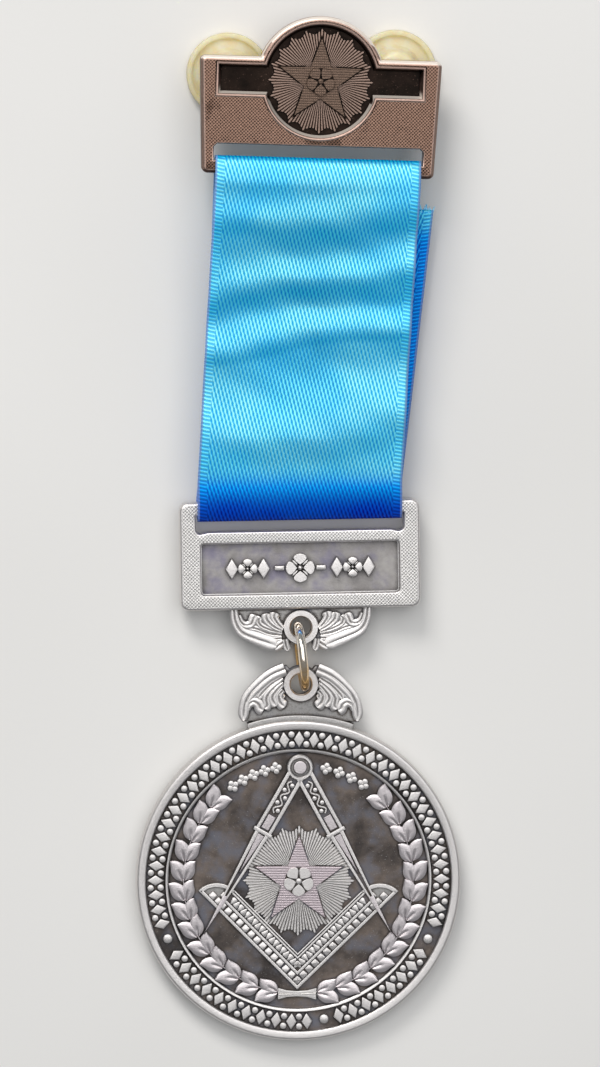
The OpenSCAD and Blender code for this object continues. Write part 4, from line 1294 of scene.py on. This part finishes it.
@dataclass
class Tab:
    """A tab with an eyelet and leaves in relief, as on the medal and on the lower bar."""

    strokes: Sequence
    # Height of its back, its thickness, and how much wider its leaves are than listed
    low: float = 0.6
    thick: float = 1.8
    swell: float = 2.15
    eyelet_r: float = 2.75
    hole_r: float = 1.6
    relief: float = 0.5

    def build(self, casting: Casting, loop: Sequence[Point], place: Matrix, finish: int) -> None:
        """Add the tab.

        Args:
            casting: The piece that carries it.
            loop: Its outline about the eyelet, counter-clockwise.
            place: Where the middle of the eyelet goes.
            finish: Material of the tab.
        """
        floor = self.thick - self.relief
        here = place @ shift(0, 0, self.low)
        ground, top = self.low + floor - 0.22, self.low + floor + self.relief * 0.5
        inner, outer, high = self.hole_r, self.eyelet_r, floor + self.relief
        hole = arc(0, 0, inner, 360, 7.5, 47)
        casting.add(Form.plate([Wall(loop), Wall(hole)], floor, 0.16), here, ground, top, finish)
        hoop = [(inner, 0.2), (outer, 0.2), (outer, floor + 0.3), (outer - 0.15, high), (inner + 0.2, high),
                (inner, high - 0.2), (inner, 0.2)]
        casting.add(Form.lathe(hoop, 64), here, ground, top, finish)
        for knots, start, end, height in self.strokes:
            half_width = finger_width(start * self.swell, end * self.swell)
            frond = Form.stroke(knots, half_width, grooved(height, 0.16), 26, 10)
            for side in (1, -1):
                casting.add(frond, here @ flip(side) @ shift(0, 0, floor), ground, top, finish)


@dataclass
class DateBar:
    """The lower bar: slot, sunk panel with a raised row, and a tab with an eyelet."""

    # Width, lower and upper end, thickness, and depth of the panel
    width: float = 36.9
    low: float = 2.9
    high: float = 19.5
    thick: float = 3.0
    sink: float = 1.3
    # Width, lower end and upper end of the panel and of the slot
    panel: tuple[float, float, float] = (30.5, 5.2, 13.2)
    slot: tuple[float, float, float] = (32.0, 14.95, 17.5)
    seat: Seat = Seat(0.320, -14.8525, 2.1, 0.8)

    @property
    def floor(self) -> float:
        """Return the height of the panel's floor."""
        return self.thick - self.sink

    @property
    def rise(self) -> float:
        """Return how far the row stands over the panel's floor."""
        return self.sink * 0.72

    def frame(self, casting: Casting) -> None:
        """Add the frame with its slot and panel."""
        floor = self.floor
        outline = rounded_box(self.width, self.width, self.low, self.high, 1.3)
        w, low, high = self.slot
        lobe = arc(-w / 2 + 0.75, low + 0.5, 0.75, 180, 270, 6)
        lobe += [(-w / 2 + 1.3, low - 0.16), (-w / 2 + 1.9, low)]
        slot = lobe + mirrored(lobe) + [(w / 2, high), (-w / 2, high)]
        pw, plow, phigh = self.panel
        panel = rounded_box(pw, pw, plow, phigh, 0.6)
        walls = [Wall(outline, edge=0.4), Wall(slot[::-1], edge=0.25), Wall(panel[::-1], floor, False, 0.22)]
        casting.add(Form.plate(walls, self.thick, 0.3), None, floor + 0.05, self.thick - 0.25, None)
        for v in casting.bm.verts:
            if max(abs(v.co.x) - self.width / 2, self.low - v.co.y, v.co.y - self.high) > -0.45:
                v[casting.wear_and_light] = 0.95
            elif v.co.z < 0.5:
                v[casting.wear_and_light] = 0.9
        line = rounded_box(pw + 0.1, pw + 0.1, plow - 0.05, phigh + 0.05, 0.6)
        self.fillet(casting, line, 0.22, floor + 0.14)

    def fillet(self, casting: Casting, loop: Sequence[Point], width: float, height: float) -> None:
        """Add a fine raised line round the floor of the panel."""
        inner = inset(loop, width)
        for i, p in enumerate(loop):
            j = (i + 1) % len(loop)
            casting.add(Form.slab([p, loop[j], inner[j], inner[i]], height, 0.03, 1.2), None, 1.5, height, 2)

    def add_raised(self, casting: Casting, form: Form, place: Matrix) -> None:
        """Add a part of the row, dark at its foot and rubbed on top."""
        casting.add(form, place, self.floor + 0.3, self.floor + self.rise * 0.8, 1)

    def row(self, casting: Casting) -> None:
        """Add the raised row in the panel: a rosette, and dashes, lozenges and rosettes beside it."""
        middle = (self.panel[1] + self.panel[2]) / 2
        dash = Form.slab(rounded_box(1.5, 1.5, -0.35, 0.35, 0.15), self.rise, 0.14)
        lozenge = Form.lozenge(2.0, 3.3, self.rise + 0.05)
        self.rosette(casting, shift(0.0, middle, self.floor), 2.2)
        for side in (1, -1):
            for form, x in ((dash, 3.2), (lozenge, 5.64), (lozenge, 10.52)):
                self.add_raised(casting, form, shift(side * x, middle, self.floor))
            self.rosette(casting, shift(side * 8.08, middle, self.floor), 1.5)

    def rosette(self, casting: Casting, place: Matrix, r: float) -> None:
        """Add a four-petal rosette with a bead in its middle."""
        petal = Form.petal(r * 0.8, r * 0.92, self.rise)
        knots = [(0, r * 0.2), (0, r * 0.78)]
        sepal = Form.stroke(knots, leaf_width(r * 0.35, 0.6), pillow(self.rise * 0.8), 8, 4)
        for k in range(4):
            casting.add(petal, place @ turn(90 * k) @ shift(0, r * 0.22), finish=1, wear_and_light=1.0)
            self.add_raised(casting, sepal, place @ turn(45 + 90 * k))
        self.add_raised(casting, Form.bead(r * 0.26, self.rise + 0.08, 3), place)

    def tab(self, casting: Casting) -> None:
        """Add the hanging tab."""
        left = [(-10.4, 3.3), (-10.45, 2.2), (-10.35, 0.95), (-9.95, -0.1), (-9.3, -1.0), (-8.3, -1.75),
                (-6.85, -2.15), (-5.8, -2.6), (-5.0, -3.1), (-4.05, -3.45), (-3.1, -3.25), (-2.5, -3.6),
                (-2.0, -3.75), (-1.75, -3.3), (-1.7, -2.75)]
        outline = [tuple(p) for p in smooth_path(left, 57)]
        loop = outline + arc(0, 0, 2.75, 236, 304, 10) + mirrored(outline)
        Tab(strokes=DATE_TAB).build(casting, loop, shift(0, 0), 1)

    def build(self) -> Object:
        """Make the lower bar and return it."""
        casting = Casting(self.seat)
        self.frame(casting)
        self.row(casting)
        self.tab(casting)
        finishes = [finish.make(self.seat) for finish in (STIPPLED_SILVER, SILVER, PANEL_SILVER)]
        return casting.settle("date_bar_cast", "antique_silver", "date_bar", finishes)


@dataclass
class BroochBar:
    """The upper bar: arch and medallion, sunk channels, slot, and two posts on its back."""

    # Width at its foot and at its top, height, thickness, and depth of the recess
    foot: float = 35.5
    top: float = 36.9
    height: float = 17.95
    thick: float = 3.0
    sink: float = 1.3
    # Radius of the arch and of the medallion, and how high their centre lies
    arch_r: float = 9.85
    recess_r: float = 8.6
    centre_y: float = 14.45
    # Height of the channels, and how far they reach from the middle
    channel_h: float = 4.4
    channel_x: float = 15.55
    # Width, lower end and upper end of the slot
    slot: tuple[float, float, float] = (32.0, 2.0, 4.55)
    posts: Sequence[Point] = ((-13.8, 14.75), (11.8, 15.95))
    seat: Seat = Seat(2.6, 54.8475, 6.15, -1.9)

    def outline(self) -> list[Point]:
        """Return the bar's outline with its arch, counter-clockwise."""
        box = rounded_box(self.foot, self.top, 0, self.height, 0.9)
        meet = math.degrees(math.asin((self.height - self.centre_y) / self.arch_r))
        arch = arc(0, self.centre_y, self.arch_r, meet, 180 - meet, 40)
        return box[:21] + arch + box[21:]

    def recess(self) -> list[Point]:
        """Return the outline of the medallion and its two channels, clockwise."""
        half = self.channel_h / 2
        meet = math.degrees(math.asin(half / self.recess_r))
        x, y = self.channel_x, self.centre_y
        upper = arc(0, y, self.recess_r, 180 - meet, meet, 36)
        lower = arc(0, y, self.recess_r, -meet, meet - 180, 36)
        return [(-x, y + half)] + upper + [(x, y + half), (x, y - half)] + lower + [(-x, y - half)]

    def body(self, casting: Casting) -> None:
        """Add the bar itself, and the fine raised line along its recess, with a painted highlight on walls
        facing north and painted shade on walls facing south.
        """
        floor = self.thick - self.sink
        w, low, high = self.slot
        slot = [(-w / 2, low), (-w / 2, high - 0.5), (-w / 2 + 0.5, high)]
        t = self.thick
        beaded = ((0.56, t), (0.52, t - 0.18), (0.47, t - 0.18), (0.43, t + 0.05), (0.36, t + 0.12),
                  (0.16, t + 0.12), (0.07, t + 0.05), (0.0, t - 0.12), (-0.3, floor + 0.12), (-0.4, floor))
        walls = [Wall(self.outline(), edge=0.6), Wall(slot + mirrored(slot), edge=0.2),
                 Wall(self.recess(), floor, False, profile=beaded)]
        casting.add(Form.plate(walls, t, 0.3), None, t - 0.75, t - 0.1, None)
        for f in casting.bm.faces:
            f.material_index = min(f.material_index, 1)
        casting.bm.normal_update()
        # Painted light: walls facing north are marked as a painted highlight and walls facing south as
        # painted shade; the foot is marked as rubbed.
        for v in casting.bm.verts:
            on_wall = floor + 0.05 < v.co.z < t - 0.05
            if on_wall and v.normal.y > 0.3:
                v[casting.wear_and_light] = PAINTED_HIGHLIGHT_TO + 0.1
            elif on_wall and v.normal.y < -0.3:
                v[casting.wear_and_light] = 0.4
            elif v.co.z < 0.5:
                v[casting.wear_and_light] = 0.85

    def build(self) -> Object:
        """Make the brooch bar and return it."""
        casting = Casting(self.seat)
        self.body(casting)
        burst = StarGroup(radius=8.0, burst_h=0.5, star_h=0.9, boss_h=1.15)
        burst.build(casting, (0, self.centre_y), self.thick - self.sink, 2, 3, 3)
        profile = [(0, -4.65), (0.25, -4.6), (0.6, -4.2), (0.6, -0.4), (0.95, -0.1), (0.95, 0.2), (0, 0.2)]
        post = Form.lathe(profile, 24)
        for spot in self.posts:
            casting.add(post, shift(*spot), finish=1, wear_and_light=0.9)
        kinds = (STIPPLED_COPPER, COPPER, BURST_COPPER, HATCHED_COPPER)
        finishes = [finish.make(self.seat) for finish in kinds]
        return casting.settle("brooch_bar_cast", "antique_copper", "brooch_bar", finishes)


@dataclass
class Clutch:
    """A rubber clutch with a raised edge round its flange."""

    side: str
    spot: Point
    radius: float = 6.35
    hole_r: float = 0.675

    def profile(self) -> list[Point]:
        """Return its section from the axis round to the axis again."""
        r, hole = self.radius, self.hole_r
        corner = [(r - 0.6 + 0.6 * math.sin(a), 0.6 - 0.6 * math.cos(a)) for a in (0.5, 1.05, 1.57)]
        under = [(0, 0.12), (2.5, 0.12), (2.8, 0), (r - 0.6, 0)]
        flange = [(r, 1.6), (r - 0.12, 1.9), (r - 0.45, 2.0), (r - 0.78, 1.9), (r - 0.95, 1.62),
                  (r - 1.3, 1.5)]
        spigot = [(4.6, 1.5), (4.0, 1.62), (3.65, 2.1), (3.45, 3.2), (3.25, 5.2), (3.1, 5.75), (2.8, 6.0),
                  (1.1, 6.0), (0.8, 5.85), (hole, 5.6), (hole, 1.35), (0, 1.35)]
        return under + corner + flange + spigot

    def build(self) -> Object:
        """Make the clutch and return it."""
        bar = BroochBar.seat
        place = shift(bar.x, bar.y) @ turn(bar.turned) @ shift(*self.spot)
        seat = Seat(place.translation.x, place.translation.y, 0.0, bar.turned)
        casting = Casting(seat)
        casting.add(Form.lathe(self.profile(), 96), wear_and_light=0.0)
        name = "clutch_" + self.side
        return casting.settle(name + "_rubber", "clutch_rubber", name, [RubberFinish().make(seat)])


@dataclass
class JumpRing:
    """The split ring of plated wire that joins the two eyelets."""

    radius: float = 4.7
    wire: float = 1.4
    # Width of the split and where it lies, in degrees
    split: float = 2.0
    split_at: float = 45.0
    seat: Seat = Seat(0.320, -19.1942, 5.4, 6.0)

    def build(self) -> Object:
        """Make the ring and return it."""
        form = Form()
        bm = form.bm
        bmesh.ops.create_circle(bm, cap_ends=False, radius=self.wire / 2, segments=20)
        bmesh.ops.rotate(bm, cent=(0, 0, 0), matrix=turn(90, "X").to_3x3(), verts=bm.verts)
        bmesh.ops.translate(bm, vec=(self.radius, 0, 0), verts=bm.verts)
        bmesh.ops.spin(bm, geom=list(bm.verts) + list(bm.edges), cent=(0, 0, 0), axis=(0, 0, 1), steps=96,
                       angle=math.radians(360 - self.split), use_merge=False, use_duplicate=False)
        bmesh.ops.holes_fill(bm, edges=bm.edges, sides=0)
        bmesh.ops.recalc_face_normals(bm, faces=bm.faces)
        casting = Casting(self.seat)
        casting.add(form, turn(90, "Y") @ turn(self.split_at + self.split / 2), wear_and_light=1.0)
        return casting.settle("jump_ring_wire", "plated_wire", "jump_ring", [WireFinish().make(self.seat)])


@dataclass(frozen=True)
class Station:
    """A point of the ribbon's middle line, in millimetres, its turn in degrees, and if it is on the front."""

    x: float
    y: float
    z: float
    turned: float
    front: bool = False

    @classmethod
    def on(cls, seat: Seat, y: float, z: float) -> "Station":
        """Return a point over the middle line of a bar: y up the bar, z over the surface."""
        a = math.radians(seat.turned)
        return cls(seat.x - y * math.sin(a), seat.y + y * math.cos(a), z, seat.turned)

    @classmethod
    def bend(cls, seat: Seat, middle: Point, size: Point, angles: Iterable[float]) -> list["Station"]:
        """Return points on an arc that the ribbon takes over the middle line of a bar.

        Args:
            seat: The bar's seat.
            middle: Middle of the arc, up the bar and over the surface.
            size: Its half sizes in the same two directions.
            angles: Angles of the points in degrees.

        Returns:
            The points in order.
        """
        return [cls.on(seat, middle[0] + size[0] * math.cos(a), middle[1] + size[1] * math.sin(a))
                for a in map(math.radians, angles)]

    @property
    def numbers(self) -> tuple[float, float, float, float]:
        """Return the point and its turn as four numbers."""
        return self.x, self.y, self.z, self.turned

    def toward(self, other: "Station", share: float, dip: float = 0.0, front: bool = False) -> "Station":
        """Return the point that lies a share of the way to another, less a dip."""
        x, y, z, a = (blend(p, q, share) for p, q in zip(self.numbers, other.numbers))
        return Station(x, y, z - dip, a, front)


@dataclass
class Ribbon:
    """The strip of satin, from its cut end behind, round both rails and down behind again."""

    width: float = 31.4
    thick: float = 0.38
    # Distance of its middle line from a rail, and the quads across it and along it
    gap: float = 0.36
    columns: int = 56
    step: float = 0.5
    # How far the front hangs below a straight line, the height of its waves, and how they lean and bow
    sag: float = 1.0
    wave_h: float = 0.36
    lean: float = 0.046
    bow: float = 0.014
    # The cut end, and the lower and upper end of the lower bar's rail
    back_end: Station = Station(5.0, 50.2475, 4.05, -3.7)
    rail: Point = (17.5, 19.5)
    # Middle and half sizes of the rolls over the lower bar and at the brooch bar
    foot_roll: tuple[Point, Point] = ((22.6, 4.7), (5.8, 2.15))
    head_roll: tuple[Point, Point] = ((-1.2, 8.95), (3.8, 1.45))
    date: Seat = DateBar.seat
    brooch: Seat = BroochBar.seat
    # Crests and hollows: share up the front, phase in turns, and height at the left and at the right
    crests: Sequence[tuple[float, float, float, float]] = (
        (-0.1, -0.8, 0.8, 0.8), (0.07, -0.5, 1, 1), (0.25, 0, 0.9, 1.1), (0.445, 0.5, 0.9, 1.1),
        (0.535, 1, 0.9, 1), (0.63, 1.5, 1.1, 0.5), (0.72, 2, 0.8, 1.2), (0.84, 2.5, 0.3, 1.2),
        (0.955, 3, 1.2, 1.2), (1.1, 3.5, 1, 1))

    def route(self) -> list[Station]:
        """Return the main points of the path in order."""
        g, date, brooch = self.gap, self.date, self.brooch
        rail_low, rail_high = self.rail
        (foot_y, foot_z), (_, foot_h) = self.foot_roll
        (head_y, head_z), (_, head_h) = self.head_roll
        back_foot = Station.on(date, rail_high + 0.1, date.z - g)
        route = [self.back_end.toward(back_foot, k / 12) for k in range(13)]
        route += Station.bend(date, (rail_low, date.z), (g, g), (-120, -150, -180))
        route += Station.bend(date, *self.foot_roll, range(180, 104, -15))
        foot = Station.on(date, foot_y, foot_z + foot_h)
        head = Station.on(brooch, head_y, head_z + head_h)
        for k in range(31):
            route.append(foot.toward(head, k / 30, self.sag * math.sin(math.pi * k / 30) ** 2, True))
        route += Station.bend(brooch, *self.head_roll, range(72, -1, -18))
        route.append(Station.on(brooch, 2.4, 7.4))
        route += Station.bend(brooch, (2.0, brooch.z), (g, g), (0, -30, -60))
        return route + [Station.on(brooch, 1.2 - k * 3.3, brooch.z - g - 0.12 * k) for k in range(5)]

    def wave(self, s: float, u: float) -> float:
        """Return how far the front layer stands off its path, by shares of its length and width."""
        leaned = s - self.lean * u + self.bow * math.sin(2.8 * u + 9.0 * s)
        near, far = next(pair for pair in zip(self.crests, self.crests[1:]) if leaned < pair[1][0])
        share = (leaned - near[0]) / (far[0] - near[0])
        phase, left, right = (blend(a, b, share) for a, b in zip(near[1:], far[1:]))
        broad = -self.wave_h * blend(left, right, (u + 1) / 2) * math.sin(math.tau * phase)
        swell = 0.05 * math.sin(math.tau * (1.3 * s + 0.6 * u))
        small = swell * math.sin(math.tau * (6.7 * s + 0.9 * u + 0.3))
        edge = 0.10 * math.sin(math.tau * (4.3 * s + 0.2)) * abs(u) ** 3
        return (broad + small + edge) * min(1.0, math.sin(math.pi * s) * 2.2)

    def samples(self, route: Sequence[Station]) -> tuple[list[list[float]], float, Point]:
        """Walk the path at an even pace.

        Args:
            route: Its main points.

        Returns:
            Points with their turns, the length of the cloth, and where the front starts and ends along it.
        """
        between = 12
        dense = smooth_knots([p.numbers for p in route], between)
        lengths = [0.0]
        for a, b in zip(dense, dense[1:]):
            lengths.append(lengths[-1] + math.dist(a[:3], b[:3]))
        total = lengths[-1]
        count = round(total / self.step)
        fronts = [k for k, p in enumerate(route) if p.front]
        walked = []
        k = 0
        for i in range(count + 1):
            at = total * i / count
            while k < len(lengths) - 2 and lengths[k + 1] < at:
                k += 1
            t = (at - lengths[k]) / max(1e-6, lengths[k + 1] - lengths[k])
            walked.append([blend(a, b, min(1.0, t)) for a, b in zip(dense[k], dense[k + 1])])
        return walked, total, (lengths[fronts[0] * between], lengths[fronts[-1] * between])

    def cloth(self, walked: Sequence[Sequence[float]], total: float, front: Point) -> Mesh:
        """Lay the cloth along the path.

        Args:
            walked: Points of the path with their turns.
            total: Length of the cloth.
            front: Where the front starts and ends along it.

        Returns:
            The mesh, with its UVs in metres of cloth.
        """
        count = len(walked) - 1
        start, end = front
        bm = bmesh.new()
        bmesh.ops.create_grid(bm, x_segments=count, y_segments=self.columns, size=0.5)
        layer = bm.loops.layers.uv.new("cloth")
        for f in bm.faces:
            for corner in f.loops:
                x, y, _ = corner.vert.co
                corner[layer].uv = (-y * self.width * MM, (x + 0.5) * total * MM)
        for v in bm.verts:
            i = round((v.co.x + 0.5) * count)
            u = -v.co.y * 2
            *middle, turned = walked[i]
            ahead, behind = walked[min(i + 1, count)], walked[max(i - 1, 0)]
            along = Vector([p - q for p, q in zip(ahead[:3], behind[:3])]).normalized()
            across = turn(turned).to_3x3() @ Vector((1, 0, 0))
            at = total * i / count
            lift = 0.0
            if start < at < end:
                lift = self.wave((at - start) / (end - start), u)
            elif at < start * 0.85:
                lift = 0.12 * math.sin(at * 0.35 + u) * math.sin(math.pi * at / start)
            off = across * (u * self.width / 2) + across.cross(along).normalized() * lift
            v.co = (Vector(middle) + off) * MM
        bmesh.ops.recalc_face_normals(bm, faces=bm.faces)
        mesh = bpy.data.meshes.new("ribbon_satin")
        bm.to_mesh(mesh)
        bm.free()
        mesh.shade_smooth()
        return mesh

    def build(self) -> Object:
        """Make the ribbon and return it."""
        walked, total, front = self.samples(self.route())
        mesh = self.cloth(walked, total, front)
        mesh.materials.append(SatinFinish(width=self.width).make())
        piece = link("ribbon_satin", mesh)
        body = piece.modifiers.new("thickness", "SOLIDIFY")
        body.thickness = self.thick * MM
        body.offset = 0.0
        register(piece, "ribbon")
        Fray(self.back_end, self.width).build()
        log.info("ribbon is %.1f mm long", total)
        return piece


def smooth_knots(knots: Sequence[Sequence[float]], between: int) -> list[list[float]]:
    """Pass a smooth curve of four numbers through knots, with a fixed number of points between each two."""
    flat = smooth_path([k[:3] for k in knots], (len(knots) - 1) * between + 1)
    turns = smooth_path([(k[3], 0.0) for k in knots], (len(knots) - 1) * between + 1)
    return [[*p, a.x] for p, a in zip(flat, turns)]


@dataclass
class Fray:
    """Loose threads at the ribbon's cut end."""

    end: Station
    width: float
    count: int = 150
    # Shortest and longest thread, and how many degrees they splay
    length: tuple[float, float] = (0.3, 1.3)
    splay: float = 26.0

    def build(self) -> Object:
        """Make the threads and return them."""
        pick = random.Random(3)
        casting = Casting(Seat(*self.end.numbers))
        for i in range(self.count):
            length = pick.uniform(*self.length)
            form = Form()
            bmesh.ops.create_cone(form.bm, cap_ends=True, segments=5, radius1=0.15, radius2=0.06,
                                  depth=length + ROOT)
            x = (i + 0.5) / self.count * self.width - self.width / 2
            place = shift(x, -ROOT, pick.uniform(-0.1, 0.1)) @ turn(pick.uniform(-self.splay, self.splay))
            place = place @ turn(pick.uniform(-100, -84), "X") @ shift(0, 0, length / 2)
            casting.add(form, place, wear_and_light=1.0)
        return casting.settle("ribbon_fray", "satin_ribbon", "ribbon", [ThreadFinish().make()])


# Setting

@dataclass(frozen=True)
class Lamp:
    """A soft square lamp aimed at the jewel."""

    name: str
    place: tuple[float, float, float]
    size: tuple[float, float]
    radiance: float
    colour: Colour = (1.0, 1.0, 1.0)

    def build(self) -> None:
        """Add the lamp."""
        data = bpy.data.lights.new(self.name, "AREA")
        data.shape = "RECTANGLE"
        data.size, data.size_y = self.size
        data.energy = self.radiance * math.pi * self.size[0] * self.size[1]
        data.color = self.colour
        place = Vector(self.place)
        link(self.name, data).matrix_world = Matrix.Translation(place) @ facing(place - Vector((0, 0, 0.004)))


def facing(back: Vector) -> Matrix:
    """Return the turn of a lamp or camera whose back points that way, with +Y as its top."""
    z = back.normalized()
    x = Vector((0, 1, 0)).cross(z).normalized()
    y = z.cross(x)
    return Matrix((x, y, z)).transposed().to_4x4()


@dataclass(frozen=True)
class Studio:
    """Camera, floor and light; the camera leans so many degrees from the plumb line.

    It sees view_h millimetres of the jewel from top to bottom.
    """

    target: tuple[float, float, float] = (0.00019, -0.00041, 0.004)
    distance: float = 1.5
    west: float = 3.4
    north: float = 5.7
    view_h: float = 163.87
    sensor: float = 36.0
    lamps: Sequence[Lamp] = (
        Lamp("overhead", (0.11, 0.64, 1.9), (2.4, 2.0), 1.75),
        Lamp("key", (-0.28, 0.75, 0.62), (0.42, 0.30), 13.0, (1.0, 0.98, 0.95)),
    )

    def camera(self) -> None:
        """Add the camera at the photograph's angle."""
        data = bpy.data.cameras.new("camera")
        data.sensor_fit = "VERTICAL"
        data.sensor_height = self.sensor
        data.lens = self.sensor * self.distance / (self.view_h * MM)
        data.clip_start, data.clip_end = 0.01, 10.0
        west, north = math.radians(self.west), math.radians(self.north)
        back = Vector((-math.tan(west), math.tan(north), 1)).normalized()
        camera = link("camera", data)
        camera.matrix_world = Matrix.Translation(Vector(self.target) + back * self.distance) @ facing(back)
        bpy.context.scene.camera = camera

    def floor(self) -> None:
        """Add the pale floor."""
        bm = bmesh.new()
        bmesh.ops.create_grid(bm, x_segments=4, y_segments=4, size=1.5)
        mesh = bpy.data.meshes.new("floor")
        bm.to_mesh(mesh)
        bm.free()
        mesh.materials.append(FloorFinish().make())
        link("floor", mesh)

    def light(self) -> None:
        """Add the lamps, a pale grey world and the plain view of colours."""
        world = bpy.data.worlds.new("studio")
        world.use_nodes = True
        sky = world.node_tree.nodes["Background"].inputs
        sky["Color"].default_value = (0.93, 0.96, 1.0, 1)
        sky["Strength"].default_value = 0.24
        bpy.context.scene.world = world
        for lamp in self.lamps:
            lamp.build()
        bpy.context.scene.view_settings.view_transform = "Standard"

    def build(self) -> None:
        """Set the stage."""
        self.camera()
        self.floor()
        self.light()


def main() -> None:
    """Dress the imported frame."""
    logging.basicConfig(level=logging.INFO, format="%(name)s: %(message)s")
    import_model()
    Studio().build()
    bar = BroochBar()
    bar.build()
    Clutch("left", bar.posts[0]).build()
    Clutch("right", bar.posts[1]).build()
    Ribbon().build()
    DateBar().build()
    JumpRing().build()
    Medal().build()


if __name__ == "__main__":
    main()
